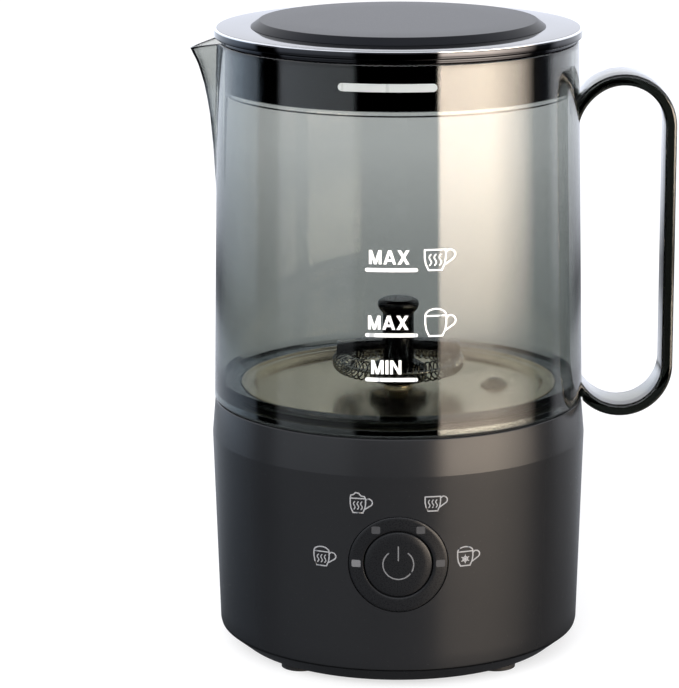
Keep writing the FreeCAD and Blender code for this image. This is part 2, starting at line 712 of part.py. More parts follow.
def jug_body(doc):
    """Tapered clear wall, a narrow floor ring that holds the dish, and a pouring beak."""
    body = new_body(doc, "jug_body")
    floor_r = size("jug_floor_in_r")
    revolve(body, [
        (size("jug_low_r"), size("jug_low_z")), (size("jug_top_r"), size("jug_top_z")),
        (0.0, size("jug_top_z")), (0.0, size("jug_low_z"))], "Solid")
    # levels of the beak: height, how far the tip stands out of the wall, half width
    levels = ((145.0, 0.15, 1.5), (158.0, 1.2, 3.2), (166.0, 2.1, 4.2), (173.0, 3.3, 5.8),
              (182.0, 5.9, 8.4), (188.3, 8.3, 10.2), (191.0, 8.8, 10.8))
    sketches = [beak_section(body, f"Beak{index}", z, out, half, 0.0)
                for index, (z, out, half) in enumerate(levels)]
    loft(body, sketches, "Beak")
    # hollow inside: tapered wall, rounded turn into the floor ring, open floor
    revolve(body, [
        (0.0, size("jug_low_z") - 1.0), (floor_r, size("jug_low_z") - 1.0),
        (floor_r, size("jug_floor_top_z")), (51.6, 83.9), (53.4, 85.2), (54.7, 87.4),
        (55.3, 90.0), (size("jug_in_low_r") - 0.15, size("jug_bend_z")),
        (size("jug_in_top_r"), size("jug_top_z") + 1.0), (0.0, size("jug_top_z") + 1.0)],
        "Hollow", cut=True)
    # throat of the beak
    levels = ((165.5, -0.7, 1.2), (173.0, 1.2, 3.6), (182.0, 3.8, 6.2), (192.0, 6.8, 8.8))
    sketches = [beak_section(body, f"Throat{index}", z, out, half, 2.0)
                for index, (z, out, half) in enumerate(levels)]
    loft(body, sketches, "Throat", cut=True)
    # room under the floor ring for the black bottom ring
    revolve(body, [
        (floor_r - 1.0, size("jug_low_z") - 1.0), (size("skirt_in_r"), size("jug_low_z") - 1.0),
        (size("skirt_in_r"), size("jug_floor_low_z")), (floor_r - 1.0, size("jug_floor_low_z"))],
        "UnderRoom", cut=True)
    return body


def jug_handle(doc):
    """A flat strap bent into an upright loop, ending on the jug wall."""
    body = new_body(doc, "jug_handle")
    width = size("handle_half_w") * 2
    centre, low, high = size("handle_x"), size("handle_low_z"), size("handle_top_z")
    sketch = new_sketch(body, "OuterSketch", "XZ_Plane", -size("handle_half_w"))
    obround(sketch, centre, low, high, size("handle_out_r"))
    pad(body, sketch, width, "Outer")
    sketch = new_sketch(body, "InnerSketch", "XZ_Plane", -size("handle_half_w"))
    obround(sketch, centre, low, high, size("handle_in_r"))
    feature = pocket(body, sketch, width, "Inner")
    feature = fillet_where(body, feature, 0.7, lambda edge, middle: (
        middle.x > 56.0 and abs(abs(middle.y) - SIZES["handle_half_w"]) < 1e-6), "SoftEdges")
    sketch = new_sketch(body, "RootSketch", "XZ_Plane", -12.0)
    outline(sketch, [(40.0, low), (57.4, low), (57.4, high), (40.0, high)])
    pocket(body, sketch, 24.0, "RootGap")
    # end flush on the jug wall and stay clear of the base below it
    room = 0.6
    low_z, high_z = size("jug_low_z") + 0.2, size("jug_top_z")
    revolve(body, [
        (0.0, 60.0), (size("crease_r") + room, 60.0), (size("crease_r") + room, size("crease_z")),
        (size("base_top_r") + room, low_z), (jug_r(low_z), low_z),
        (size("jug_top_r"), high_z), (0.0, high_z)], "WallTrim", cut=True)
    return body


def heating_dish(doc):
    body = new_body(doc, "heating_dish")
    thick = size("dish_t")
    floor, rim = size("dish_floor_z"), size("dish_rim_z")
    revolve(body, [
        (0.0, floor - thick), (size("dish_in_r") - 0.6, floor - thick),
        (size("dish_in_r") + 0.7, rim - thick), (size("dish_rim_r"), rim - thick),
        (size("dish_rim_r"), rim), (size("dish_in_r"), rim), (size("dish_in_r") - 1.3, floor),
        (0.0, floor)], "Dish")
    return body


def sensor_stud(doc):
    """A pressed dome on the dish floor above the temperature sensor."""
    body = new_body(doc, "sensor_stud")
    low, radius = size("dish_floor_z"), size("stud_r")
    disc(body, radius, low, low + 1.2, size("stud_x"), 0.0, "Foot")
    disc(body, radius - 1.0, low + 1.2, low + 2.0, size("stud_x"), 0.0, "Step")
    disc(body, radius - 2.3, low + 2.0, low + size("stud_h"), size("stud_x"), 0.0, "Crest")
    return body


def dish_gasket(doc):
    body = new_body(doc, "dish_gasket")
    rim = size("dish_rim_z") - size("dish_t")
    revolve(body, [(47.0, size("ring_top_z")), (size("dish_rim_r"), size("ring_top_z")),
                   (size("dish_rim_r"), rim), (47.0, rim)], "Ring")
    return body


def jug_bottom_ring(doc):
    body = new_body(doc, "jug_bottom_ring")
    low = size("base_top_z")
    revolve(body, [
        (size("ring_in_low_r"), low), (size("ring_out_low_r"), low),
        (size("ring_out_low_r"), size("ring_top_z")),
        (size("ring_in_low_r"), size("ring_top_z"))], "Ring")
    return body


def whisk_post(doc):
    body = new_body(doc, "whisk_post")
    floor = size("dish_floor_z")
    disc(body, 4.5, floor, floor + 0.9, name="Flange")
    disc(body, size("pin_r"), floor + 0.9, size("pin_top_z"), name="Pin")
    return body


# ---------------------------------------------------------------- whisk
def whisk_bush(doc):
    body = new_body(doc, "whisk_bush")
    inner = size("pin_r") + size("run_fit")
    disc(body, size("bush_out_r"), size("bush_low_z"), size("bush_top_z"), name="Bush")
    bore(body, inner, size("bush_low_z"), size("pin_top_z") + 0.6, name="PinBore")
    return body


def whisk_hub(doc):
    """Stem with a magnet foot, four arms and the lugs that reach down to the core wire."""
    body = new_body(doc, "whisk_hub")
    stem, bush = size("hub_r"), size("bush_out_r") + size("run_fit")
    revolve(body, [
        (bush, size("hub_low_z")), (size("hub_foot_r"), size("hub_low_z")),
        (size("hub_foot_r"), size("hub_foot_z")), (stem, size("hub_foot_z") + 2.5),
        (stem, size("hub_top_z")), (bush, size("hub_top_z"))], "Stem")
    # one arm along +X, padded across from its side outline
    low, high, drop = size("arm_low_z"), size("arm_top_z"), size("arm_drop")
    root, end = bush + 0.4, size("arm_end_r")
    half = size("arm_half_w")
    lug_end = size("coil_z") + size("core_wire_r")
    sketch = new_sketch(body, "ArmSketch", "XZ_Plane", -half)
    outline(sketch, [
        (root, low + drop), (root, high + drop), (end, high), (end, lug_end),
        (size("lug_in_r"), lug_end), (size("lug_in_r"), low)])
    arm = pad(body, sketch, half * 2, "Arm")
    around(body, arm, new_sketch(body, "ArmAxis", "XY_Plane"), 4, "Arms")
    hole, sketch = bore(body, size("whisk_magnet_r"), size("hub_low_z"),
                        size("hub_foot_z") - 0.7, size("whisk_magnet_ring"), 0.0, "MagnetPocket")
    around(body, hole, sketch, 4, "MagnetPockets")
    return body


def whisk_magnets(doc):
    body = new_body(doc, "whisk_magnets")
    magnet, sketch = disc(body, size("whisk_magnet_r"), size("hub_low_z"),
                          size("hub_foot_z") - 0.7, size("whisk_magnet_ring"), 0.0, "Magnet")
    around(body, magnet, sketch, 4, "Magnets")
    return body


def whisk_knob(doc):
    """Mushroom cap used to pull the whisk off."""
    body = new_body(doc, "whisk_knob")
    low, high, radius = size("knob_low_z"), size("knob_top_z"), size("knob_r")
    revolve(body, [
        (0.0, low), (size("hub_r"), low), (radius - 0.3, low + 1.6), (radius, low + 2.6),
        (radius - 0.2, low + 3.6), (radius - 0.9, high - 0.4), (radius - 1.8, high),
        (0.0, high)], "Cap")
    return body


def whisk_coil(doc):
    """The close wire coil bent into a ring, as a thin hollow ring slotted for the lugs."""
    body = new_body(doc, "whisk_coil")
    sketch = new_sketch(body, "TubeSketch", "XZ_Plane")
    circle(sketch, size("coil_r"), size("coil_z"), size("coil_tube_r"))
    circle(sketch, size("coil_r"), size("coil_z"), size("coil_tube_r") - size("coil_wire"))
    turn_sketch(body, sketch, "Tube")
    half = size("arm_half_w") + 0.2
    slot, sketch = slab(body, (size("coil_r") - 4.5, -half, size("coil_z") + 0.3),
                        (size("coil_r") + 4.5, half, size("coil_z") + 4.5), "LugSlot", cut=True)
    around(body, slot, sketch, 4, "LugSlots")
    return body


def whisk_wire_ring(doc):
    body = new_body(doc, "whisk_wire_ring")
    sketch = new_sketch(body, "WireSketch", "XZ_Plane")
    circle(sketch, size("coil_r"), size("coil_z"), size("core_wire_r"))
    turn_sketch(body, sketch, "Wire")
    return body


# ---------------------------------------------------------------- lid
def lid_flange(doc):
    body = new_body(doc, "lid_flange")
    low, high, radius = size("lid_low_z"), size("lid_top_z"), size("lid_r")
    revolve(body, [
        (0.0, low), (radius - 0.4, low), (radius, low + 0.4), (radius, high - 0.5),
        (radius - 0.5, high), (0.0, high)], "Plate")
    return body


def lid_pad(doc):
    body = new_body(doc, "lid_pad")
    low, high = size("lid_top_z"), size("pad_top_z")
    revolve(body, [
        (0.0, low), (size("pad_low_r"), low), (size("pad_top_r") + 0.4, high - 0.3),
        (size("pad_top_r"), high), (0.0, high)], "Pad")
    return body


def lid_skirt(doc):
    body = new_body(doc, "lid_skirt")
    outer, low, high = size("lid_skirt_r"), size("lid_skirt_z"), size("lid_low_z")
    inner = outer - size("lid_skirt_wall")
    revolve(body, [
        (inner, low), (outer, low), (outer, size("jug_top_z")),
        (size("shoulder_r"), size("jug_top_z")), (size("shoulder_r"), high), (inner, high)],
        "Skirt")
    return body


def lid_seal(doc):
    body = new_body(doc, "lid_seal")
    low, high, outer = size("seal_z"), size("lid_skirt_z"), size("seal_r")
    inner = size("lid_skirt_r") - size("lid_skirt_wall")
    revolve(body, [(inner, low), (outer - 0.5, low), (outer, low + 0.6), (outer, high),
                   (inner, high)], "Ring")
    return body


def lid_mark_bar(doc):
    body = new_body(doc, "lid_mark_bar")
    low = size("bar_z") - size("bar_h") * 0.5
    high = low + size("bar_h")
    inner = size("lid_skirt_r")
    outer = inner + size("bar_t")
    sketch = new_sketch(body, "BarSketch")
    outline(sketch, [(inner, low), (outer, low), (outer, high), (inner, high)])
    feature = turn_sketch(body, sketch, "Bar")
    bind(feature, "Angle", size("bar_angle"))
    start = -90.0 + SIZES["bar_turn"] - SIZES["bar_angle"] / 2
    body.Placement = FreeCAD.Placement(V(0, 0, 0), FreeCAD.Rotation(V(0, 0, 1), start))
    return body


def make_all(doc):
    """Build every sub-part and return the bodies."""
    board_top = size("board_z") + size("board_t")
    return [
        base_housing(doc), bottom_cover(doc), foot_ring(doc), base_deck(doc),
        heater_plate(doc), heater_seal(doc), heating_element(doc), temperature_sensor(doc),
        thermal_fuse(doc), motor_can(doc), motor_bracket(doc),
        screws(doc, "motor_screws", 2, 10.0, size("bracket_top_z"),
               size("bracket_top_z") + 1.6, size("bracket_low_z") - 1.2),
        screws(doc, "bracket_screws", 3, size("post_ring_r"), size("bracket_low_z") - 1.6,
               size("bracket_low_z"), 73.0),
        screws(doc, "cover_screws", 3, 47.0, 4.9, 6.5, 22.0, -90.0),
        power_board(doc), board_item(doc, "relay", (-33.0, -17.0), (-17.0, 3.0, 15.0)),
        capacitor(doc), transformer(doc),
        board_item(doc, "terminal_block", (-10.0, 20.0), (6.0, 29.0, 9.0)),
        control_board(doc), tact_switch(doc), indicator_leds(doc), control_ring(doc),
        light_windows(doc), cord_gland(doc), cord_clamp(doc), clamp_screws(doc),
        motor_shaft(doc), motor_armature(doc), magnet_wheel(doc), drive_magnets(doc),
        power_button(doc), jug_body(doc), jug_handle(doc), heating_dish(doc),
        sensor_stud(doc), dish_gasket(doc), jug_bottom_ring(doc), whisk_post(doc),
        whisk_bush(doc), whisk_hub(doc), whisk_magnets(doc), whisk_knob(doc),
        whisk_coil(doc), whisk_wire_ring(doc), lid_flange(doc), lid_pad(doc),
        lid_skirt(doc), lid_seal(doc), lid_mark_bar(doc),
    ]


def faults(doc, bodies):
    """Every feature in a bad state, every bad shape, and every cut that removed nothing."""
    found = [f"{item.Name} {item.State}" for item in doc.Objects
             if "Invalid" in item.State or "Error" in item.State]
    for body in bodies:
        if body.Shape.isNull() or not body.Shape.isValid():
            found.append(f"{body.Name} has a bad shape")
        for feature in body.Group:
            cutting = feature.TypeId in ("PartDesign::Pocket", "PartDesign::Groove",
                                         "PartDesign::SubtractiveLoft")
            if cutting and feature.Shape.Volume > feature.BaseFeature.Shape.Volume - 1e-3:
                found.append(f"{body.Name} {feature.Name} removes nothing")
    return found


def main():
    doc = FreeCAD.newDocument("MilkFrother")
    make_sheet(doc)
    bodies = make_all(doc)
    doc.recompute()
    problems = faults(doc, bodies)
    for problem in problems:
        print("FAULT", problem)
    if problems:
        raise SystemExit(1)
    os.makedirs("parts", exist_ok=True)
    for body in bodies:
        body.Shape.exportStep(f"parts/{body.Label}.step")
        box = body.Shape.BoundBox
        print(f"{body.Label:20s} solids {len(body.Shape.Solids)} volume {body.Shape.Volume:10.1f}"
              f" x {box.XMin:7.2f} {box.XMax:7.2f} y {box.YMin:7.2f} {box.YMax:7.2f}"
              f" z {box.ZMin:7.2f} {box.ZMax:7.2f}")


main()
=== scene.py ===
"""Looks of a milk frother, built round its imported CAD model.

Sizes inside the classes are millimetres and become metres when a mesh is made.  The object stands
on the floor at height 0 with its control ring towards -Y, its handle towards +X and its pouring
lip towards -X.
"""

import json
import logging
import math
from collections.abc import Callable, Sequence
from dataclasses import dataclass
from enum import Enum

import bmesh
import bpy
from mathutils import Matrix, Vector


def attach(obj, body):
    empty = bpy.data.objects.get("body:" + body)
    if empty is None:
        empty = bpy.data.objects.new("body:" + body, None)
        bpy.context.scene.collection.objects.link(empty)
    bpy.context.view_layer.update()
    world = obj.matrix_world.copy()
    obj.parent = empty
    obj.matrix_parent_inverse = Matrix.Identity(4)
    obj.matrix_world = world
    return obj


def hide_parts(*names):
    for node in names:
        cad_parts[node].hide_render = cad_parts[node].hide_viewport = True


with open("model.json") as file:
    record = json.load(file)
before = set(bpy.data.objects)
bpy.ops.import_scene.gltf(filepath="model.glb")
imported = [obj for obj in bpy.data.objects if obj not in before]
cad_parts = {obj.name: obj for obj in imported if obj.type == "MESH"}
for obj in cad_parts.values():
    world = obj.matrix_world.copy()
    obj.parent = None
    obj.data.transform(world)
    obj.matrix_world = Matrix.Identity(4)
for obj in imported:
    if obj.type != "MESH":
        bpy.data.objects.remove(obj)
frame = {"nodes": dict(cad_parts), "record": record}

LOG = logging.getLogger("milk_frother")
MM = 0.001
Pair = tuple[float, float]
Corner = tuple[float, ...]
Surface = Callable[[float, float, float], Vector]

# slow clouding in the colour of every opaque finish, about 22 mm across
CLOUDS_PER_METRE = 45.0
# flow marks in clear mouldings, about 6 mm long
FLOW_MARKS_PER_METRE = 160.0
# the angle in degrees above which an edge stays sharp, unless a piece says otherwise
SHARP = 38.0
# points closer than this many millimetres are one point
SAME_POINT = 1e-4
# printed ink: its underside's lift off the surface, its thickness, and how much each stroke of
# a drawing or bar of a letter stands above the one before, so that crossings don't flicker
INK_LIFT, INK_THICK = 0.01, 0.06
STROKE_STEP, STROKE_LAYERS, BAR_STEP = 0.002, 5, 0.003


# ---------------------------------------------------------------- small helpers
def linear(colour: str) -> tuple[float, float, float, float]:
    """Turn an sRGB hex colour into the linear values that shaders take.

    Args:
        colour: six hex digits, with or without a leading hash.

    Returns:
        Linear red, green, blue and an alpha of one.
    """
    digits = colour.lstrip("#")
    parts = [int(digits[i:i + 2], 16) / 255 for i in (0, 2, 4)]
    red, green, blue = [p / 12.92 if p <= 0.04045 else ((p + 0.055) / 1.055) ** 2.4
                        for p in parts]
    return red, green, blue, 1.0


def add_node(tree: bpy.types.NodeTree, kind: str, settings: dict | None = None,
             inputs: dict | None = None) -> bpy.types.Node:
    """Add one node with its settings and links.

    Args:
        tree: the tree that gets the node.
        kind: the node's type name.
        settings: properties to set on the node.
        inputs: values or output sockets by input name or number.

    Returns:
        The new node.
    """
    node = tree.nodes.new(kind)
    for name, value in (settings or {}).items():
        setattr(node, name, value)
    for key, value in (inputs or {}).items():
        if isinstance(value, bpy.types.NodeSocket):
            tree.links.new(value, node.inputs[key])
        else:
            node.inputs[key].default_value = value
    return node


# ---------------------------------------------------------------- finishes
class Pattern(Enum):
    """How the surface was made, which sets the direction of its fine marks."""

    SPARKED = "even grain left by a spark-eroded mould"
    SPUN = "rings round the upright axis, left by spinning or facing"
    DRAWN = "lines round a shaft or tube, left by drawing or turning"
    POLISHED = "faint wiping marks on a polished face"
    WOVEN = "crossed glass cloth under a board's lacquer"


@dataclass(frozen=True)
class Finish:
    """An opaque finish with a fine pattern in its colour, gloss and relief.

    Attributes:
        name: what the material is and how it was made.
        colour: main sRGB colour.
        shade: sRGB colour that the pattern wanders towards.
        roughness: lowest and highest roughness over the surface.
        pattern: which marks it carries.
        grain: size of one mark in millimetres.
        relief: height of the marks in millimetres.
        metallic: one for bare metal.
        ior: refractive index of a non-metal.
        spread: how far the colour wanders, from zero to one.
        glow: strength of a self-light, painted light that makes a surface look brighter than its
            lighting makes it.
        stretch: how far spun or drawn marks draw out reflections, from zero to one.
    """

    name: str
    colour: str
    shade: str
    roughness: Pair
    pattern: Pattern
    grain: float
    relief: float
    metallic: float = 0.0
    ior: float = 1.5
    spread: float = 1.0
    glow: float = 0.0
    stretch: float = 0.0

    def marks(self, tree: bpy.types.NodeTree) -> bpy.types.NodeSocket:
        """Build the pattern's nodes.

        Args:
            tree: the material's tree.

        Returns:
            The socket that carries the pattern, from zero to one.
        """
        where = add_node(tree, "ShaderNodeTexCoord").outputs["Object"]
        per_metre = 1.0 / (self.grain * MM)
        if self.pattern in (Pattern.SPUN, Pattern.DRAWN):
            parts = add_node(tree, "ShaderNodeSeparateXYZ", None, {0: where})
            along = parts.outputs["Z"]
            if self.pattern is Pattern.SPUN:
                flat = add_node(tree, "ShaderNodeCombineXYZ", None,
                                {0: parts.outputs["X"], 1: parts.outputs["Y"]})
                along = add_node(tree, "ShaderNodeVectorMath", {"operation": "LENGTH"},
                                 {0: flat.outputs[0]}).outputs["Value"]
            noise = add_node(tree, "ShaderNodeTexNoise", {"noise_dimensions": "1D"},
                             {"W": along, "Scale": per_metre, "Detail": 3.0})
            return noise.outputs["Fac"]
        if self.pattern is Pattern.WOVEN:
            wave = add_node(tree, "ShaderNodeTexWave", None,
                            {"Vector": where, "Scale": per_metre / 2, "Distortion": 1.2,
                             "Detail": 1.0})
            return wave.outputs["Fac"]
        # wiping marks run across the piece, grain is even
        scale = (0.18, 1.0, 1.0) if self.pattern is Pattern.POLISHED else (1.0, 1.0, 1.0)
        mapped = add_node(tree, "ShaderNodeMapping", None, {"Vector": where, "Scale": scale})
        noise = add_node(tree, "ShaderNodeTexNoise", None,
                         {"Vector": mapped.outputs[0], "Scale": per_metre, "Detail": 4.0,
                          "Roughness": 0.6})
        return noise.outputs["Fac"]

    def material(self) -> bpy.types.Material:
        """Make the finish's material, once per name.

        Returns:
            The material.
        """
        found = bpy.data.materials.get(self.name)
        if found:
            return found
        made = bpy.data.materials.new(self.name)
        made.use_nodes = True
        tree = made.node_tree
        tree.nodes.clear()
        marks = self.marks(tree)
        where = add_node(tree, "ShaderNodeTexCoord").outputs["Object"]
        cloud = add_node(tree, "ShaderNodeTexNoise", None,
                         {"Vector": where, "Scale": CLOUDS_PER_METRE, "Detail": 3.0}).outputs["Fac"]
        blend = add_node(tree, "ShaderNodeMath", {"operation": "MULTIPLY_ADD"},
                         {0: cloud, 1: 0.5 * self.spread, 2: 0.0})
        blend = add_node(tree, "ShaderNodeMath", {"operation": "MULTIPLY_ADD"},
                         {0: marks, 1: 0.5 * self.spread, 2: blend.outputs[0]})
        colour = add_node(tree, "ShaderNodeMix", {"data_type": "RGBA"},
                          {0: blend.outputs[0], 6: linear(self.colour), 7: linear(self.shade)})
        rough = add_node(tree, "ShaderNodeMapRange", None,
                         {"Value": marks, "From Min": 0.25, "From Max": 0.75,
                          "To Min": self.roughness[0], "To Max": self.roughness[1]})
        bump = add_node(tree, "ShaderNodeBump", None,
                        {"Height": marks, "Distance": self.relief * MM, "Strength": 1.0})
        # the glow is painted light: an emission in the finish's own colour
        shader = add_node(tree, "ShaderNodeBsdfPrincipled", None, {
            "Base Color": colour.outputs[2], "Roughness": rough.outputs[0],
            "Normal": bump.outputs[0], "Metallic": self.metallic, "IOR": self.ior,
            "Emission Color": linear(self.colour), "Emission Strength": self.glow,
            "Anisotropic": self.stretch})
        if self.stretch:
            round_axis = add_node(tree, "ShaderNodeTangent", {"direction_type": "RADIAL",
                                                              "axis": "Z"})
            tree.links.new(round_axis.outputs[0], shader.inputs["Tangent"])
        add_node(tree, "ShaderNodeOutputMaterial", None, {"Surface": shader.outputs[0]})
        return made


@dataclass(frozen=True)
class ClearFinish:
    """A see-through plastic whose tint deepens with thickness.

    Attributes:
        name: what the material is and how it was made.
        tint: sRGB colour that light takes on inside the plastic.
        depth: absorption per metre.
        wave: height of the moulding's slow waves in millimetres.
        painted_shade_by_height: painted shade, as sRGB colour given to light at the faces, low down
        and high up, each with its height in metres.
        ior: refractive index.
    """

    name: str
    tint: str
    depth: float
    wave: float
    painted_shade_by_height: tuple[tuple[str, float], tuple[str, float]] = (("ffffff", 0.0), ("ffffff", 1.0))
    ior: float = 1.5

    def material(self) -> bpy.types.Material:
        """Make the clear material, once per name.

        Returns:
            The material.
        """
        found = bpy.data.materials.get(self.name)
        if found:
            return found
        made = bpy.data.materials.new(self.name)
        made.use_nodes = True
        tree = made.node_tree
        tree.nodes.clear()
        where = add_node(tree, "ShaderNodeTexCoord").outputs["Object"]
        flow = add_node(tree, "ShaderNodeTexNoise", None,
                        {"Vector": where, "Scale": FLOW_MARKS_PER_METRE,
                         "Detail": 2.0}).outputs["Fac"]
        wavy = add_node(tree, "ShaderNodeBump", None,
                        {"Height": flow, "Distance": self.wave * MM, "Strength": 1.0})
        height = add_node(tree, "ShaderNodeSeparateXYZ", None, {0: where}).outputs["Z"]
        # painted shade: the faces take the lower colour low down and the upper one high up
        (deep, low), (light, high) = self.painted_shade_by_height
        share = add_node(tree, "ShaderNodeMapRange", None,
                         {"Value": height, "From Min": low, "From Max": high})
        face = add_node(tree, "ShaderNodeMix", {"data_type": "RGBA"},
                        {0: share.outputs[0], 6: linear(deep), 7: linear(light)})
        shader = add_node(tree, "ShaderNodeBsdfPrincipled", None, {
            "Base Color": face.outputs[2], "Roughness": 0.0, "Normal": wavy.outputs[0],
            "IOR": self.ior, "Transmission Weight": 1.0})
        inside = add_node(tree, "ShaderNodeVolumeAbsorption", None,
                          {"Color": linear(self.tint), "Density": self.depth})
        add_node(tree, "ShaderNodeOutputMaterial", None,
                 {"Surface": shader.outputs[0], "Volume": inside.outputs[0]})
        return made


# Grain sizes are as coarse as they need to be to show; the real marks are mostly finer.
# moulded ABS from a spark-eroded tool: even black with a soft broad sheen
MATT_ABS = Finish("moulded_abs_matt_black", "1f2022", "262729", (0.21, 0.28),
                  Pattern.SPARKED, 0.55, 0.012, ior=1.36)
# the same ABS from a finer tool: control ring and button, a touch darker
SATIN_ABS = Finish("moulded_abs_satin_black", "18191b", "1f2022", (0.24, 0.32),
                   Pattern.SPARKED, 0.4, 0.006, ior=1.36)
# ABS of the ring under the jug, polished like a piano lid: deep black with a clean reflection
PIANO_ABS = Finish("moulded_abs_piano_black", "060607", "0a0a0c", (0.03, 0.06),
                   Pattern.POLISHED, 3.0, 0.0008, ior=2.1)
# glass-filled nylon of the whisk, polished: black with slightly softer highlights
WHISK_NYLON = Finish("moulded_nylon_black", "060607", "0c0c0e", (0.16, 0.26),
                     Pattern.SPARKED, 0.8, 0.004, ior=1.36)
# clear copolyester, moulded and smoke tinted in the mass: grey that deepens at its edges, with
# painted shade that makes it darker low down
CLEAR_JUG = ClearFinish("moulded_copolyester_smoke", "90948e", 375.0, 0.003, ior=1.58,
                        painted_shade_by_height=(("e6eae9", 0.098), ("fdffff", 0.165)))
# clear silicone of the lid's seal ring: a faint bright line with hardly any tint
CLEAR_SILICONE = ClearFinish("moulded_silicone_clear", "eef0ec", 60.0, 0.004, ior=1.41)
# stainless steel sheet, drawn and spun, then polished: warm, with reflections drawn out in rings
DRAWN_STEEL = Finish("spun_stainless_steel_polished", "dccdb0", "b9ac93", (0.12, 0.26),
                     Pattern.SPUN, 0.35, 0.0008, metallic=1.0, stretch=0.6)
# the same steel pressed into the sensor's stud and browned by the weld: a dull dark spot
STUD_STEEL = Finish("pressed_stainless_steel_browned", "6f6a62", "4c4843", (0.10, 0.2),
                    Pattern.SPARKED, 0.8, 0.001, metallic=1.0)
# hard drawn stainless wire: bright, with fine lines along its turns
WIRE_STEEL = Finish("drawn_stainless_wire", "b3b0aa", "918e88", (0.06, 0.12),
                    Pattern.SPARKED, 0.3, 0.001, metallic=1.0)
# dark chrome over plastic: a nearly black mirror
DARK_CHROME = Finish("plated_dark_chrome", "3e3f43", "46474b", (0.03, 0.07),
                     Pattern.POLISHED, 4.0, 0.0006, metallic=1.0)
# bright chrome of the lid's rolled edge, a painted highlight: a brighter copy of the lid's chrome
# that draws a thin white line
HIGHLIGHT_CHROME = Finish("plated_chrome_painted_highlight", "e6e7ea", "d6d8dc", (0.04, 0.09),
                       Pattern.POLISHED, 4.0, 0.0006, metallic=1.0)
# metallic lacquer sprayed satin on the lid pad: fine flake, broad soft reflection
SATIN_LACQUER = Finish("sprayed_metallic_lacquer_satin", "141519", "1c1e22", (0.30, 0.36),
                       Pattern.SPARKED, 0.25, 0.002, ior=1.2)
# pad printed ink: flat white with a hint of screen grain, and a painted glow that brightens it
WHITE_INK = Finish("printed_ink_white", "f4f4f2", "e9e9e6", (0.45, 0.6),
                   Pattern.SPARKED, 0.2, 0.002, glow=0.35)
# white enamel filled into the lid's bar, with a strong painted glow: brighter than the print,
# though seen through the wall
GLOWING_WHITE_ENAMEL = Finish("filled_enamel_white_painted_glow", "fbfbfa", "f1f1ee", (0.2, 0.3),
                      Pattern.SPARKED, 0.2, 0.002, glow=0.9)
# pad printed grey ink: flat, and quiet against the black, with a faint painted glow
GREY_INK = Finish("printed_ink_grey", "98999c", "8c8d90", (0.45, 0.6),
                  Pattern.SPARKED, 0.2, 0.002, glow=0.1)
# the same grey ink printed thinly on the button, so the black below shows through, with a fainter
# painted glow
FADED_INK = Finish("printed_ink_grey_thin", "76777a", "5e5f62", (0.4, 0.5),
                   Pattern.SPARKED, 0.2, 0.002, glow=0.05)
# silicone, moulded: milky rubber with a soft sheen
SILICONE = Finish("moulded_silicone_milky", "b4b6b4", "a6a8a5", (0.35, 0.5),
                  Pattern.SPARKED, 0.9, 0.004, ior=1.41)
# acrylic light guide painted a paler grey than the others: painted light on the left window
PAINTED_LIGHT_ACRYLIC = Finish("moulded_acrylic_painted_light", "66676a", "707174", (0.45, 0.6),
                         Pattern.SPARKED, 0.25, 0.004, ior=1.49)
# the other light guides, a darker grey, without the painted light
SMOKED_ACRYLIC = Finish("moulded_acrylic_smoked", "3a3b3d", "46474a", (0.4, 0.55),
                        Pattern.SPARKED, 0.25, 0.004, ior=1.4)
# moulded rubber of the foot and the cord gland: dull, dusty black
FOOT_RUBBER = Finish("moulded_rubber_black", "161617", "1f1f20", (0.6, 0.75),
                     Pattern.SPARKED, 0.6, 0.02, ior=1.52)
# aluminium plate faced on a lathe: pale, with fine rings
ALUMINIUM = Finish("turned_aluminium_plate", "c6c7c9", "b2b3b5", (0.25, 0.4),
                   Pattern.SPUN, 0.5, 0.003, metallic=1.0)
# steel turned on a lathe: grey, with lines round each shaft
PLAIN_STEEL = Finish("turned_steel", "b9b9b9", "9d9c9a", (0.2, 0.35),
                     Pattern.DRAWN, 0.3, 0.001, metallic=1.0)
# drawn steel tube that has been red hot: brown and dull
TINTED_STEEL = Finish("drawn_steel_heat_tinted", "7d7063", "5c5650", (0.3, 0.5),
                      Pattern.SPARKED, 2.5, 0.003, metallic=1.0)
# pressed steel with zinc plating: cool grey with a mottled shine
ZINC_STEEL = Finish("pressed_steel_zinc_plated", "aeb2b8", "989a9c", (0.28, 0.45),
                    Pattern.SPARKED, 1.8, 0.003, metallic=1.0)
# nickel plating on the magnets: a warm, even mirror
NICKEL = Finish("plated_nickel", "cbc7bf", "b9b5ac", (0.12, 0.2),
                Pattern.SPARKED, 0.8, 0.001, metallic=1.0)
# stacked steel sheets of the armature: dark, with the edge of each sheet showing
CORE_STEEL = Finish("stacked_core_laminations", "4c4c4e", "2e2e30", (0.4, 0.6),
                    Pattern.DRAWN, 0.5, 0.05, metallic=1.0)
# woven glass laminate under a green mask: the cloth shows faintly
LAMINATE = Finish("woven_laminate_green_mask", "1c5a33", "174a2a", (0.25, 0.4),
                  Pattern.WOVEN, 0.5, 0.01)
# moulded polyester of the relay's case: even blue with a slight shine
RELAY_PLASTIC = Finish("moulded_polyester_blue", "234f93", "1e4580", (0.3, 0.4),
                       Pattern.SPARKED, 0.5, 0.004)
# shrunk sleeve of the capacitor: tight, smooth black
SLEEVE = Finish("shrunk_sleeve_black", "141418", "1d1d22", (0.25, 0.35),
                Pattern.POLISHED, 2.0, 0.003)
# polyester tape wound on the transformer: yellow, in bands
TAPE = Finish("wound_polyester_tape", "c8a53a", "b4922e", (0.3, 0.4),
              Pattern.DRAWN, 1.0, 0.02)
# moulded nylon of the terminal block: plain green
TERMINAL_NYLON = Finish("moulded_nylon_green", "2c7a44", "256a3a", (0.4, 0.5),
                        Pattern.SPARKED, 0.5, 0.006)
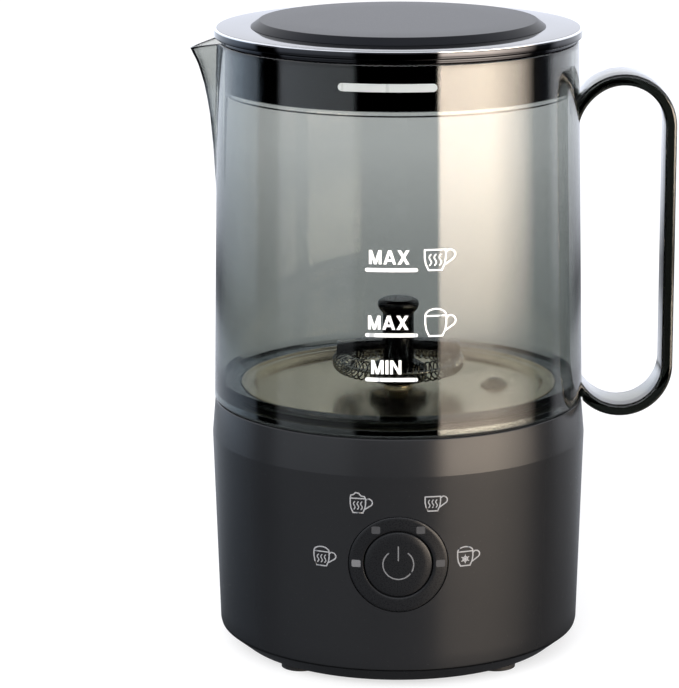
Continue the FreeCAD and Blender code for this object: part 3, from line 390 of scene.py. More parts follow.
# moulded nylon without pigment: cream, slightly waxy
NATURAL_NYLON = Finish("moulded_nylon_natural", "d7d3c7", "cbc7ba", (0.4, 0.5),
                       Pattern.SPARKED, 0.5, 0.004)
# turned acetal of the whisk's bush: off-white with faint turning lines
ACETAL = Finish("turned_acetal_natural", "dedbd0", "d2cfc3", (0.3, 0.4),
                Pattern.DRAWN, 0.4, 0.002)
# cast epoxy of the lamps: glossy and nearly white
LAMP_RESIN = Finish("cast_epoxy_water_white", "e6e6de", "dadad2", (0.1, 0.2),
                    Pattern.SPARKED, 0.8, 0.001)

SLOT_FINISH = {
    "base_plastic": MATT_ABS, "control_plastic": SATIN_ABS, "foot_rubber": FOOT_RUBBER,
    "plate_aluminium": ALUMINIUM, "silicone": SILICONE, "element_steel": TINTED_STEEL,
    "plain_steel": PLAIN_STEEL, "zinc_steel": ZINC_STEEL, "screw_steel": ZINC_STEEL,
    "board_laminate": LAMINATE, "relay_plastic": RELAY_PLASTIC, "capacitor_sleeve": SLEEVE,
    "transformer_tape": TAPE, "terminal_plastic": TERMINAL_NYLON,
    "switch_plastic": SATIN_ABS, "lamp_resin": LAMP_RESIN, "window_plastic": PAINTED_LIGHT_ACRYLIC,
    "gland_rubber": FOOT_RUBBER, "inner_plastic": NATURAL_NYLON, "core_steel": CORE_STEEL,
    "magnet_nickel": NICKEL, "clear_plastic": CLEAR_JUG, "dish_steel": DRAWN_STEEL,
    "gloss_black_plastic": PIANO_ABS, "lid_chrome": DARK_CHROME, "lid_satin": SATIN_LACQUER,
    "seal_silicone": SILICONE, "white_print": WHITE_INK, "bush_plastic": ACETAL,
    "whisk_plastic": WHISK_NYLON, "coil_steel": WIRE_STEEL,
}


# ---------------------------------------------------------------- mesh helpers
def rounded(points: Sequence[Corner], closed: bool = True, steps: int = 5) -> list[Pair]:
    """Round the corners of an outline.

    Args:
        points: corners as (radius, height) or (radius, height, rounding).
        closed: whether the last corner joins the first.
        steps: how many pieces each rounding gets.

    Returns:
        The outline with an arc in place of each rounded corner.
    """
    result: list[Pair] = []
    count = len(points)
    for index, point in enumerate(points):
        at = Vector(point[:2])
        radius = point[2] if len(point) > 2 else 0.0
        if radius <= 0 or (not closed and index in (0, count - 1)):
            result.append((at.x, at.y))
            continue
        before = Vector(points[index - 1][:2]) - at
        after = Vector(points[(index + 1) % count][:2]) - at
        half = before.angle(after) / 2
        # a rounding stops just short of the middle of a side, where the next one may start
        reach = min(radius / math.tan(half), 0.49 * before.length, 0.49 * after.length)
        start, end = at + before.normalized() * reach, at + after.normalized() * reach
        for step in range(steps + 1):
            t = step / steps
            spot = start * (1 - t) ** 2 + at * (2 * t * (1 - t)) + end * t ** 2
            result.append((spot.x, spot.y))
    return result


def shade(mesh: bpy.types.Mesh, sharp: float = SHARP) -> None:
    """Smooth a mesh except across edges sharper than the given angle in degrees."""
    mesh.shade_smooth()
    mesh.set_sharp_from_angle(angle=math.radians(sharp))


def to_object(name: str, work: bmesh.types.BMesh, sharp: float = SHARP) -> bpy.types.Object:
    """Turn a bmesh in millimetres into a closed object in metres with its faces outwards.

    Args:
        name: the piece's name.
        work: the mesh; it is freed.
        sharp: angle above which an edge stays sharp.

    Returns:
        The linked object.
    """
    bmesh.ops.remove_doubles(work, verts=work.verts[:], dist=SAME_POINT)
    bmesh.ops.recalc_face_normals(work, faces=work.faces[:])
    bmesh.ops.scale(work, vec=(MM, MM, MM), verts=work.verts[:])
    mesh = bpy.data.meshes.new(name)
    work.to_mesh(mesh)
    work.free()
    shade(mesh, sharp)
    piece = bpy.data.objects.new(name, mesh)
    bpy.context.scene.collection.objects.link(piece)
    return piece


def turned(work: bmesh.types.BMesh, profile: Sequence[Pair], segments: int, closed: bool = True,
           at: Pair = (0.0, 0.0),
           shape: Callable[[float, float, float], Pair] | None = None) -> None:
    """Turn an outline about an upright axis into a bmesh.

    Args:
        work: the bmesh that gets the faces.
        profile: (radius, height) points; a radius of zero makes a pole.
        segments: number of steps round the axis.
        closed: whether the last point joins the first.
        at: x and y of the axis.
        shape: changes (angle, radius, height) into another radius and height.
    """
    rings = []
    for radius, height in profile:
        if radius < SAME_POINT:
            rings.append([work.verts.new((at[0], at[1], height))])
            continue
        ring = []
        for step in range(segments):
            angle = math.tau * step / segments
            wide, high = shape(angle, radius, height) if shape else (radius, height)
            ring.append(work.verts.new((at[0] + wide * math.cos(angle),
                                        at[1] + wide * math.sin(angle), high)))
        rings.append(ring)
    pairs = list(zip(rings, rings[1:]))
    if closed:
        pairs.append((rings[-1], rings[0]))
    for low, high in pairs:
        if len(low) == 1 and len(high) == 1:
            continue
        for step in range(segments):
            after = (step + 1) % segments
            corners = [low[step % len(low)], low[after % len(low)],
                       high[after % len(high)], high[step % len(high)]]
            unique = list(dict.fromkeys(corners))
            if len(unique) > 2:
                work.faces.new(unique)


def lathe(name: str, profile: Sequence[Corner], segments: int = 256, closed: bool = True,
          at: Pair = (0.0, 0.0)) -> bpy.types.Object:
    """Turn a piece with rounded corners.

    Args:
        name: the piece's name.
        profile: corners as (radius, height) or (radius, height, rounding).
        segments: number of steps round the axis.
        closed: whether the outline closes on itself away from the axis.
        at: x and y of the axis.

    Returns:
        The linked object.
    """
    work = bmesh.new()
    turned(work, rounded(profile, closed), segments, closed, at)
    return to_object(name, work)


def ring_section(radius: float, height: float, thick: float, sides: int) -> list[Pair]:
    """Outline the round section of a ring, whose own radius is thick."""
    return [(radius + thick * math.cos(math.tau * k / sides),
             height + thick * math.sin(math.tau * k / sides)) for k in range(sides)]


def flattened(piece: bpy.types.Object) -> bpy.types.Object:
    """Apply a piece's modifiers to its mesh and drop them.

    Args:
        piece: the object with its modifiers.

    Returns:
        The same object with a plain mesh.
    """
    graph = bpy.context.evaluated_depsgraph_get()
    graph.update()
    mesh = bpy.data.meshes.new_from_object(piece.evaluated_get(graph))
    piece.modifiers.clear()
    piece.data = mesh
    return piece


def carve(piece: bpy.types.Object, cutter: bpy.types.Object) -> bpy.types.Object:
    """Cut one piece with another and throw the cutter away.

    Args:
        piece: the object that is cut.
        cutter: the object that cuts.

    Returns:
        The piece.
    """
    step = piece.modifiers.new("carve", "BOOLEAN")
    step.operation = "DIFFERENCE"
    step.solver = "EXACT"
    step.object = cutter
    flattened(piece)
    bpy.data.objects.remove(cutter)
    shade(piece.data)
    return piece


def merged(name: str, pieces: Sequence[bpy.types.Object]) -> bpy.types.Object:
    """Join finished pieces of one material into one object.

    Args:
        name: the whole piece's name.
        pieces: the objects to join; they are removed.

    Returns:
        The linked object.
    """
    work = bmesh.new()
    for piece in pieces:
        work.from_mesh(piece.data)
        bpy.data.objects.remove(piece)
    mesh = bpy.data.meshes.new(name)
    work.to_mesh(mesh)
    work.free()
    shade(mesh)
    whole = bpy.data.objects.new(name, mesh)
    bpy.context.scene.collection.objects.link(whole)
    return whole


def dress(piece: bpy.types.Object, finish: Finish | ClearFinish, body: str,
          nodes: Sequence[str] = ()) -> bpy.types.Object:
    """Give a piece its finish, its body and the CAD nodes it stands for.

    Args:
        piece: the finished object.
        finish: what it is made of.
        body: the CAD body it rides on.
        nodes: CAD nodes it replaces.

    Returns:
        The same object.
    """
    piece.data.materials.clear()
    piece.data.materials.append(finish.material())
    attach(piece, body)
    if nodes:
        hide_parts(*nodes)
    LOG.info("%s: %d faces on %s", piece.name, len(piece.data.polygons), body)
    return piece


# ---------------------------------------------------------------- drawing on a surface
@dataclass(frozen=True)
class Stroke:
    """One drawn line with round ends.

    Attributes:
        points: corners of the line in millimetres on the flat drawing.
        width: line width in millimetres.
        closed: whether it joins itself.
    """

    points: tuple[Pair, ...]
    width: float
    closed: bool = False

    def dense(self, spacing: float = 0.9) -> list[Vector]:
        """Add points on long runs, so that the line can follow a round surface.

        Args:
            spacing: longest run in millimetres.

        Returns:
            The line's points.
        """
        corners = [Vector(p) for p in self.points]
        if self.closed:
            corners.append(corners[0])
        result = [corners[0]]
        for start, end in zip(corners, corners[1:]):
            count = max(1, math.ceil((end - start).length / spacing))
            result += [start.lerp(end, step / count) for step in range(1, count + 1)]
        if self.closed:
            result.pop()
        return result

    def lay(self, work: bmesh.types.BMesh, surface: Surface, thick: float) -> None:
        """Draw the line as a thin raised ribbon on a surface.

        Args:
            work: the bmesh that gets the ribbon.
            surface: maps flat x, flat y and lift to a point in space.
            thick: the ink's thickness.
        """
        line = self.dense()
        count, half = len(line), self.width / 2
        left: list[Vector] = []
        right: list[Vector] = []
        for index, spot in enumerate(line):
            if self.closed:
                before, after = line[index - 1], line[(index + 1) % count]
            else:
                before, after = line[max(index - 1, 0)], line[min(index + 1, count - 1)]
            come = (spot - before) if (spot - before).length > 1e-9 else (after - spot)
            go = (after - spot) if (after - spot).length > 1e-9 else come
            come, go = come.normalized(), go.normalized()
            side = Vector((-(come + go).y, (come + go).x))
            side = side.normalized() if side.length > 1e-6 else Vector((-go.y, go.x))
            # a corner's point reaches out further than half the width, within limits
            miter = min(half / max(side.dot(Vector((-go.y, go.x))), 0.35), half * 2.2)
            left.append(spot + side * miter)
            right.append(spot - side * miter)
        loops = [[left[i], right[i], right[(i + 1) % count], left[(i + 1) % count]]
                 for i in range(count if self.closed else count - 1)]
        if not self.closed:
            for spot, toward in ((line[0], line[0] - line[1]), (line[-1], line[-1] - line[-2])):
                turn = math.atan2(toward.y, toward.x)
                loops.append([spot + half * Vector((math.cos(turn + a), math.sin(turn + a)))
                              for a in [math.pi * (k / 8 - 0.5) for k in range(9)]])
        for loop in loops:
            self.slab(work, loop, surface, INK_LIFT, thick)

    @staticmethod
    def slab(work: bmesh.types.BMesh, loop: Sequence[Vector], surface: Surface, lift: float,
             thick: float) -> None:
        """Add one little closed slab over a flat outline.

        Args:
            work: the bmesh that gets the slab.
            loop: the outline on the flat drawing.
            surface: maps flat x, flat y and lift to a point in space.
            lift: height of the underside.
            thick: height of the slab.
        """
        low = [work.verts.new(surface(p.x, p.y, lift)) for p in loop]
        high = [work.verts.new(surface(p.x, p.y, lift + thick)) for p in loop]
        work.faces.new(low[::-1])
        work.faces.new(high)
        for index in range(len(loop)):
            after = (index + 1) % len(loop)
            work.faces.new((low[index], low[after], high[after], high[index]))


def shifted(strokes: Sequence[Stroke], dx: float, dy: float, scale: float = 1.0) -> list[Stroke]:
    """Copy strokes, scaled and then moved; their widths stay."""
    return [Stroke(tuple((x * scale + dx, y * scale + dy) for x, y in s.points), s.width,
                   s.closed) for s in strokes]


def arc(cx: float, cy: float, rx: float, ry: float, start: float, end: float,
        steps: int = 14) -> tuple[Pair, ...]:
    """Find points along an elliptical arc, with its angles in degrees."""
    return tuple((cx + rx * math.cos(math.radians(start + (end - start) * i / steps)),
                  cy + ry * math.sin(math.radians(start + (end - start) * i / steps)))
                 for i in range(steps + 1))


def draw(name: str, strokes: Sequence[Stroke], surface: Surface,
         work: bmesh.types.BMesh | None = None) -> bpy.types.Object:
    """Draw several strokes as one printed piece on a surface.

    Args:
        name: the piece's name.
        strokes: the lines of the drawing.
        surface: maps flat x, flat y and lift to a point in space.
        work: a bmesh that already holds a part of the print.

    Returns:
        The linked object.
    """
    if work is None:
        work = bmesh.new()
    for index, stroke in enumerate(strokes):
        stroke.lay(work, surface, INK_THICK + STROKE_STEP * (index % STROKE_LAYERS))
    return to_object(name, work)


class Drink(Enum):
    """What a cup mark shows."""

    STEAM = "three wisps of steam"
    FOAM = "a dome of foam"
    FOAM_STEAM = "a dome of foam over steam"
    PEAK_STEAM = "a peak of foam over steam"
    FOAM_SNOW = "a dome of foam over a snowflake"


def cup_mark(drink: Drink, width: float) -> list[Stroke]:
    """A cup about seven units wide, centred on its body.

    Args:
        drink: what is drawn in and on the cup.
        width: line width.

    Returns:
        The strokes of the mark.
    """
    side = ((-2.7, 2.2), (-2.7, 0.4), (-2.45, -1.2), (-1.75, -2.75), (1.45, -2.75),
            (2.15, -1.2), (2.4, 0.4), (2.4, 2.2))
    strokes = [Stroke(side, width), Stroke(((-2.7, 2.2), (2.4, 2.2)), width),
               Stroke(((2.4, 1.6),) + arc(3.3, 0.9, 1.35, 1.3, 100, -60, 10) + ((2.1, -1.5),),
                      width)]
    if drink is not Drink.STEAM:
        if drink is Drink.PEAK_STEAM:
            top = ((-2.7, 2.2), (-2.5, 3.2), (-1.6, 3.5), (-0.9, 4.2), (0.1, 4.0), (0.9, 3.1),
                   (2.0, 2.9), (2.4, 2.2))
        else:
            top = arc(-0.15, 2.2, 2.55, 1.7, 180, 0)
        strokes.append(Stroke(top, width))
    if drink in (Drink.STEAM, Drink.FOAM_STEAM, Drink.PEAK_STEAM):
        for middle in (-1.35, -0.15, 1.05):
            wisp = tuple((middle + 0.32 * math.sin(math.tau * t / 10) + 0.25 * (t / 10 - 0.5),
                          -1.55 + 2.6 * t / 10) for t in range(11))
            strokes.append(Stroke(wisp, width * 0.85))
    if drink is Drink.FOAM_SNOW:
        for turn in (30, 90, 150):
            dx, dy = 1.35 * math.cos(math.radians(turn)), 1.35 * math.sin(math.radians(turn))
            strokes.append(Stroke(((-0.15 - dx, -0.4 - dy), (-0.15 + dx, -0.4 + dy)),
                                  width * 0.8))
        strokes.append(Stroke(arc(-0.15, -0.4, 0.8, 0.8, 0, 324, 9), width * 0.8, closed=True))
    return strokes


# millimetres between the letters of a word
LETTER_GAP = 0.34
# letters in a box one unit high, generic level wording only: advance width, then straight bars,
# each with its left edge low down, its left edge high up, its width, its foot and its top
LETTERS = {
    "M": (0.92, ((0.0, 0.0, 0.2, 0.0, 1.0), (0.68, 0.68, 0.2, 0.0, 1.0),
                 (0.345, 0.02, 0.2, 0.0, 1.0), (0.335, 0.66, 0.2, 0.0, 1.0))),
    "A": (0.90, ((0.0, 0.33, 0.22, 0.0, 1.0), (0.68, 0.35, 0.22, 0.0, 1.0),
                 (0.22, 0.22, 0.46, 0.2, 0.37))),
    "X": (0.86, ((0.0, 0.60, 0.25, 0.0, 1.0), (0.60, 0.0, 0.25, 0.0, 1.0))),
    "I": (0.24, ((0.0, 0.0, 0.21, 0.0, 1.0),)),
    "N": (0.82, ((0.0, 0.0, 0.2, 0.0, 1.0), (0.6, 0.6, 0.2, 0.0, 1.0),
                 (0.58, 0.0, 0.22, 0.0, 1.0))),
}


def letter_bars(work: bmesh.types.BMesh, text: str, x: float, y: float, height: float,
                surface: Surface) -> None:
    """Lay a word of bold letters on a surface, starting at x, y.

    Args:
        work: the bmesh that gets the letters.
        text: capital letters found in LETTERS.
        x: left edge.
        y: foot of the letters.
        height: letter height.
        surface: maps flat x, flat y and lift to a point in space.
    """
    for letter in text:
        advance, bars = LETTERS[letter]
        for index, (low, high, wide, foot, top) in enumerate(bars):
            loop = [Vector((x + px * height, y + py * height))
                    for px, py in ((low, foot), (low + wide, foot), (high + wide, top),
                                   (high, top))]
            Stroke.slab(work, loop, surface, INK_LIFT, INK_THICK + BAR_STEP * index)
        x += advance * height + LETTER_GAP


# ---------------------------------------------------------------- repeated pieces
def node_group(name: str, sockets: dict[str, float]) -> bpy.types.NodeTree:
    """Start a geometry tree with named number inputs.

    Args:
        name: the tree's name.
        sockets: input names and their values.

    Returns:
        The tree.
    """
    tree = bpy.data.node_groups.new(name, "GeometryNodeTree")
    for label, value in sockets.items():
        whole = isinstance(value, int)
        socket = tree.interface.new_socket(
            label, in_out="INPUT", socket_type="NodeSocketInt" if whole else "NodeSocketFloat")
        socket.default_value = value
    tree.interface.new_socket("Geometry", in_out="OUTPUT", socket_type="NodeSocketGeometry")
    return tree


def grown(name: str, tree: bpy.types.NodeTree) -> bpy.types.Object:
    """Run a geometry tree once and keep the result as a plain mesh.

    Args:
        name: the piece's name.
        tree: the geometry tree, whose inputs hold their values.

    Returns:
        The finished object.
    """
    piece = bpy.data.objects.new(name, bpy.data.meshes.new(name))
    bpy.context.scene.collection.objects.link(piece)
    step = piece.modifiers.new("grow", "NODES")
    step.node_group = tree
    flattened(piece)
    shade(piece.data)
    return piece


def end_tree(tree: bpy.types.NodeTree, shape: bpy.types.NodeSocket, finish: Finish) -> None:
    """Close a geometry tree with Realize Instances and Set Material.

    Args:
        tree: the geometry tree.
        shape: the socket that carries its geometry.
        finish: what the piece is made of.
    """
    real = add_node(tree, "GeometryNodeRealizeInstances", None, {0: shape})
    painted = add_node(tree, "GeometryNodeSetMaterial", None,
                       {"Geometry": real.outputs[0], "Material": finish.material()})
    add_node(tree, "NodeGroupOutput", None, {0: painted.outputs[0]})


@dataclass(frozen=True)
class CoilRing:
    """A close wire helix bent into a ring, made by a geometry tree.

    Attributes:
        ring: radius of the ring.
        tube: radius of each turn.
        wire: radius of the wire.
        height: height of the ring's middle.
        turns: turns in the whole ring.
        steps: points along one turn.
        sides: sides of the wire.
    """

    ring: float = 17.4
    tube: float = 2.98
    wire: float = 0.275
    height: float = 90.0
    turns: int = 48
    steps: int = 16
    sides: int = 7

    def build(self) -> bpy.types.Object:
        """Grow the coil.

        Returns:
            The coil as a plain mesh.
        """
        tree = node_group("coil_ring", {
            "Turns": self.turns, "Steps": self.turns * self.steps, "Ring": self.ring * MM,
            "Tube": self.tube * MM, "Wire": self.wire * MM, "Height": self.height * MM})
        given = add_node(tree, "NodeGroupInput").outputs
        path = add_node(tree, "GeometryNodeCurvePrimitiveCircle", None,
                        {"Resolution": given["Steps"], "Radius": given["Ring"]})
        index = add_node(tree, "GeometryNodeInputIndex").outputs[0]

        def math_node(operation: str, first: object, second: object = 0.0) -> object:
            """Add one math node and give its output."""
            return add_node(tree, "ShaderNodeMath", {"operation": operation},
                            {0: first, 1: second}).outputs[0]

        share = math_node("DIVIDE", index, given["Steps"])
        around = math_node("MULTIPLY", share, math.tau)
        winding = math_node("MULTIPLY", around, given["Turns"])
        reach = math_node("ADD", given["Ring"],
                          math_node("MULTIPLY", given["Tube"], math_node("COSINE", winding)))
        place = add_node(tree, "ShaderNodeCombineXYZ", None, {
            0: math_node("MULTIPLY", reach, math_node("COSINE", around)),
            1: math_node("MULTIPLY", reach, math_node("SINE", around)),
            2: math_node("ADD", given["Height"],
                         math_node("MULTIPLY", given["Tube"], math_node("SINE", winding)))})
        bent = add_node(tree, "GeometryNodeSetPosition", None,
                        {"Geometry": path.outputs[0], "Position": place.outputs[0]})
        section = add_node(tree, "GeometryNodeCurvePrimitiveCircle", None,
                           {"Resolution": self.sides, "Radius": given["Wire"]})
        wire = add_node(tree, "GeometryNodeCurveToMesh", None,
                        {"Curve": bent.outputs[0], "Profile Curve": section.outputs[0]})
        end_tree(tree, wire.outputs[0], WIRE_STEEL)
        return grown("whisk_coil_wire", tree)


@dataclass
class ScrewSet:
    """Like screws on a circle: pan head with a cross recess and a ribbed shank.

    Attributes:
        name: start of the piece's name.
        count: how many screws.
        ring: radius of the circle they stand on.
        phase: direction of the first one in degrees.
        bearing: height of the face that the heads press on.
        tip: height of the shanks' ends; above the bearing face, the heads point down.
        head: height of a head.
        head_r: radius of a head.
        shank_r: radius over the thread.
        pitch: distance between a ridge and the groove next to it.
        groove: depth of the thread.
        slot: length and width of the recess's two slots.
    """

    name: str
    count: int
    ring: float
    phase: float
    bearing: float
    tip: float
    head: float = 1.6
    head_r: float = 2.5
    shank_r: float = 1.2
    pitch: float = 0.35
    groove: float = 0.22
    slot: Pair = (2.4, 0.55)

    def master(self) -> bpy.types.Object:
        """Make one screw at the origin with its head's bearing face at height zero.

        Returns:
            The screw, which the tree copies.
        """
        length = abs(self.tip - self.bearing)
        thread = [(self.shank_r - (self.groove if k % 2 else 0.0), -0.4 - self.pitch * k)
                  for k in range(int((length - 1.2) / self.pitch))]
        profile = [(0.0, self.head), (self.head_r - 0.9, self.head),
                   (self.head_r - 0.2, self.head * 0.62), (self.head_r, 0.1),
                   (self.head_r - 0.1, 0.0), (self.shank_r, 0.0)]
        work = bmesh.new()
        turned(work, profile + thread + [(0.0, -length)], 24, closed=False)
        screw = to_object(self.name + "_one", work)
        slots = bmesh.new()
        for wide, deep in (self.slot, self.slot[::-1]):
            bmesh.ops.create_cube(slots, size=1.0, matrix=Matrix.Translation(
                (0, 0, self.head)) @ Matrix.Diagonal((wide, deep, self.head * 1.1, 1.0)))
        carve(screw, to_object(self.name + "_cutter", slots))
        if self.tip > self.bearing:
            screw.data.transform(Matrix.Rotation(math.pi, 4, "X"))
        return screw

    def build(self) -> bpy.types.Object:
        """Grow the set.

        Returns:
            All the screws as one plain mesh.
        """
        master = self.master()
        tree = node_group(self.name + "_set", {
            "Count": self.count, "Ring": self.ring * MM, "Height": self.bearing * MM,
            "Phase": math.radians(self.phase)})
        given = add_node(tree, "NodeGroupInput").outputs
        # points by their number, because a mesh circle can't have only two corners
        index = add_node(tree, "GeometryNodeInputIndex").outputs[0]
        step = add_node(tree, "ShaderNodeMath", {"operation": "DIVIDE"},
                        {0: math.tau, 1: given["Count"]})
        turn = add_node(tree, "ShaderNodeMath", {"operation": "MULTIPLY_ADD"},
                        {0: index, 1: step.outputs[0], 2: given["Phase"]})
        across, along = [
            add_node(tree, "ShaderNodeMath", {"operation": "MULTIPLY"}, {
                0: given["Ring"], 1: add_node(tree, "ShaderNodeMath", {"operation": way},
                                              {0: turn.outputs[0]}).outputs[0]}).outputs[0]
            for way in ("COSINE", "SINE")]
        place = add_node(tree, "ShaderNodeCombineXYZ", None,
                         {0: across, 1: along, 2: given["Height"]})
        placed = add_node(tree, "GeometryNodePoints", None,
                          {"Count": given["Count"], "Position": place.outputs[0]})
        shape = add_node(tree, "GeometryNodeObjectInfo", None, {"Object": master})
        spots = add_node(tree, "GeometryNodeInstanceOnPoints", None,
                         {"Points": placed.outputs[0], "Instance": shape.outputs["Geometry"]})
        end_tree(tree, spots.outputs[0], ZINC_STEEL)
        piece = grown(self.name + "_set", tree)
        bpy.data.objects.remove(master)
        return piece


# ---------------------------------------------------------------- the base
@dataclass
class Base:
    """Matt housing with its controls, printed marks and screws.

    Attributes:
        low: outer radius and height of the wall's foot.
        crease: outer radius and height where the wall turns in.
        top: outer radius and height of the upper edge.
        rim: inner radius and foot of the thin upper edge.
        wall: thickness of the wall.
        cord: radius over the corners, and height, of the cord opening.
        panel_z: height of the controls' middle.
        opening: radius of the round opening for the controls.
        ring_in: inner radius of the control ring.
        ring_out: outer radius of the control ring.
        ring_deep: how far the ring reaches in behind the wall.
        button: radius of the push button.
        skirt_deep: how far the button's edge reaches in.
        stem: radius of the button's stem, and how far it reaches in.
        power_r: radius of the power mark.
        power_line: line width of the power mark.
        window_ring: radius of the circle that the light windows stand on.
        windows: each window's direction in degrees, half its width and half its height.
        left: direction of the window painted paler, as painted light.
        window_corner: radius of a window's corners.
        window_deep: depth of a window.
        window_proud: how far a window stands out.
        marks: each cup mark with its place from the panel's middle.
        mark_scale: size of a cup mark.
        mark_line: line width of a cup mark.
    """

    low: Pair = (56.4, 7.1)
    crease: Pair = (58.2, 68.2)
    top: Pair = (57.2, 79.6)
    rim: Pair = (55.5, 77.2)
    wall: float = 2.4
    cord: Pair = (6.05, 17.0)
    panel_z: float = 41.0
    opening: float = 15.1
    ring_in: float = 10.5
    ring_out: float = 14.9
    ring_deep: float = 6.5
    button: float = 10.1
    skirt_deep: float = 3.2
    stem: Pair = (2.5, 7.4)
    power_r: float = 4.6
    power_line: float = 0.38
    window_ring: float = 12.65
    windows: tuple[Corner, ...] = ((0.0, 1.35, 1.1), (58.0, 1.3, 1.15), (122.0, 1.3, 1.15),
                                   (180.0, 1.35, 1.1))
    left: float = 180.0
    window_corner: float = 0.4
    window_deep: float = 1.0
    window_proud: float = 0.03
    marks: tuple[tuple[Drink, float, float], ...] = (
        (Drink.FOAM_STEAM, -22.9, 0.8), (Drink.PEAK_STEAM, -11.9, 18.45),
        (Drink.STEAM, 10.4, 19.1), (Drink.FOAM_SNOW, 20.2, 1.1))
    mark_scale: float = 0.9
    mark_line: float = 0.36

    def radius(self, height: float) -> float:
        """Outer radius of the flared wall at a height."""
        share = (height - self.low[1]) / (self.crease[1] - self.low[1])
        return self.low[0] + (self.crease[0] - self.low[0]) * share

    def front(self, x: float, z: float, lift: float) -> Vector:
        """A point on the front wall, x across and z up from the panel's middle."""
        height = self.panel_z + z
        return Vector((x, -math.sqrt((self.radius(height) + lift) ** 2 - x * x), height))

    def housing(self) -> bpy.types.Object:
        """Turn the flared drum and cut its front opening and its cord opening.

        Returns:
            The housing.
        """
        outer = [(self.radius(z), z) for z in range(12, 66, 3)]
        profile = rounded([(*self.low, 0.9)] + outer
                          + [(*self.crease, 1.6), (*self.top, 0.5), (self.rim[0], self.top[1], 0.3),
                             self.rim, (self.crease[0] - self.wall, self.crease[1]),
                             (self.low[0] - self.wall, self.low[1], 0.3)])
        work = bmesh.new()
        turned(work, profile, 256)
        sharp = 30
        piece = to_object("base_housing_shell", work, sharp)
        # a round hole in front for the controls, a six-sided one behind for the cord; each
        # cutter is deeper than the wall is thick and stands across it
        wall_at, depth = 57, 20
        for radius, height, side, corners in ((self.opening, self.panel_z, -1, 96),
                                              (*self.cord, 1, 6)):
            cutter = bmesh.new()
            bmesh.ops.create_cone(
                cutter, cap_ends=True, segments=corners, radius1=radius, radius2=radius,
                depth=depth, matrix=Matrix.Translation((0, side * wall_at, height))
                @ Matrix.Rotation(math.pi / 2, 4, "X") @ Matrix.Rotation(math.pi / 2, 4, "Z"))
            carve(piece, to_object("opening_cutter", cutter))
        shade(piece.data, sharp)
        return piece

    def panel_disc(self, name: str, profile: Sequence[Pair], filled: bool,
                   segments: int = 128) -> bpy.types.Object:
        """Make a round piece that follows the curved front wall.

        Args:
            name: the piece's name.
            profile: (radius from the panel's middle, lift) from inside to outside.
            filled: close the middle with a pole at the first point.
            segments: steps round.

        Returns:
            The linked object.
        """
        work = bmesh.new()
        rings = []
        for radius, lift in profile:
            rings.append([work.verts.new(self.front(
                radius * math.cos(math.tau * k / segments),
                radius * math.sin(math.tau * k / segments), lift)) for k in range(segments)])
        pairs = list(zip(rings, rings[1:]))
        if filled:
            for ring in (rings[0], rings[-1]):
                middle = sum((v.co for v in ring), Vector()) / segments
                if ring is rings[0]:
                    middle = self.front(0.0, 0.0, profile[0][1])
                pole = work.verts.new(middle)
                for k in range(segments):
                    work.faces.new((pole, ring[k], ring[(k + 1) % segments]))
        else:
            pairs.append((rings[-1], rings[0]))
        for inner, outer in pairs:
            for k in range(segments):
                after = (k + 1) % segments
                work.faces.new((inner[k], inner[after], outer[after], outer[k]))
        return to_object(name, work)

    def control_ring(self) -> None:
        """Make the ring round the button, flush with the wall and rounded at both edges."""
        inner, outer, back = self.ring_in, self.ring_out, -self.ring_deep
        face = [(inner + (outer - inner) * k / 4, 0.0) for k in range(1, 4)]
        ring = self.panel_disc("control_ring_face", [
            (inner, back), (inner, -0.35), (inner + 0.1, -0.12), (inner + 0.35, 0.0)] + face
            + [(outer - 0.35, 0.0), (outer - 0.1, -0.12), (outer, -0.35), (outer, back)], False)
        dress(ring, SATIN_ABS, "base", ["control_ring"])

    def push_button(self) -> None:
        """Make the button with its skirt and stem, and print the power mark on it."""
        edge, back = self.button, -self.skirt_deep
        stem_r, stem_deep = self.stem
        face = [(radius, 0.0) for radius in (0.6, 2.5, 5.0, 7.5, edge - 0.45)]
        cap = self.panel_disc("power_button_cap", face + [
            (edge - 0.14, -0.12), (edge, -0.4), (edge, back), (stem_r, back),
            (stem_r, -stem_deep)], True)
        dress(cap, SATIN_ABS, "button", ["power_button"])
        mark = [Stroke(arc(0, 0, self.power_r, self.power_r, 130, 410, 40), self.power_line),
                Stroke(((0.0, 1.3), (0.0, self.power_r + 1.0)), self.power_line)]
        dress(draw("power_mark", mark, self.front), FADED_INK, "button")

    def light_windows(self) -> None:
        """Make four windows with rounded corners in the ring, the left one painted paler as painted
        light.
        """
        smoked, painted_light_window = bmesh.new(), bmesh.new()
        corner = self.window_corner
        for angle, wide, high in self.windows:
            turn = math.radians(angle)
            middle = Vector((self.window_ring * math.cos(turn), self.window_ring * math.sin(turn)))
            loop = [middle + Vector((across * (wide - corner) + corner * math.cos(a),
                                     up * (high - corner) + corner * math.sin(a)))
                    for across, up, start in ((1, 1, 0), (-1, 1, 90), (-1, -1, 180), (1, -1, 270))
                    for a in [math.radians(start + t) for t in (0, 30, 60, 90)]]
            # painted light: the left window gets the paler acrylic
            Stroke.slab(painted_light_window if angle == self.left else smoked, loop, self.front,
                        -self.window_deep, self.window_deep + self.window_proud)
        dress(to_object("light_window_set", smoked), SMOKED_ACRYLIC, "base",
              ["light_windows"])
        dress(to_object("light_window_left", painted_light_window), PAINTED_LIGHT_ACRYLIC, "base")

    def cup_marks(self) -> None:
        """Print the four cup marks round the controls."""
        strokes = []
        for drink, x, z in self.marks:
            strokes += shifted(cup_mark(drink, self.mark_line), x, z, self.mark_scale)
        dress(draw("cup_marks", strokes, self.front), GREY_INK, "base")

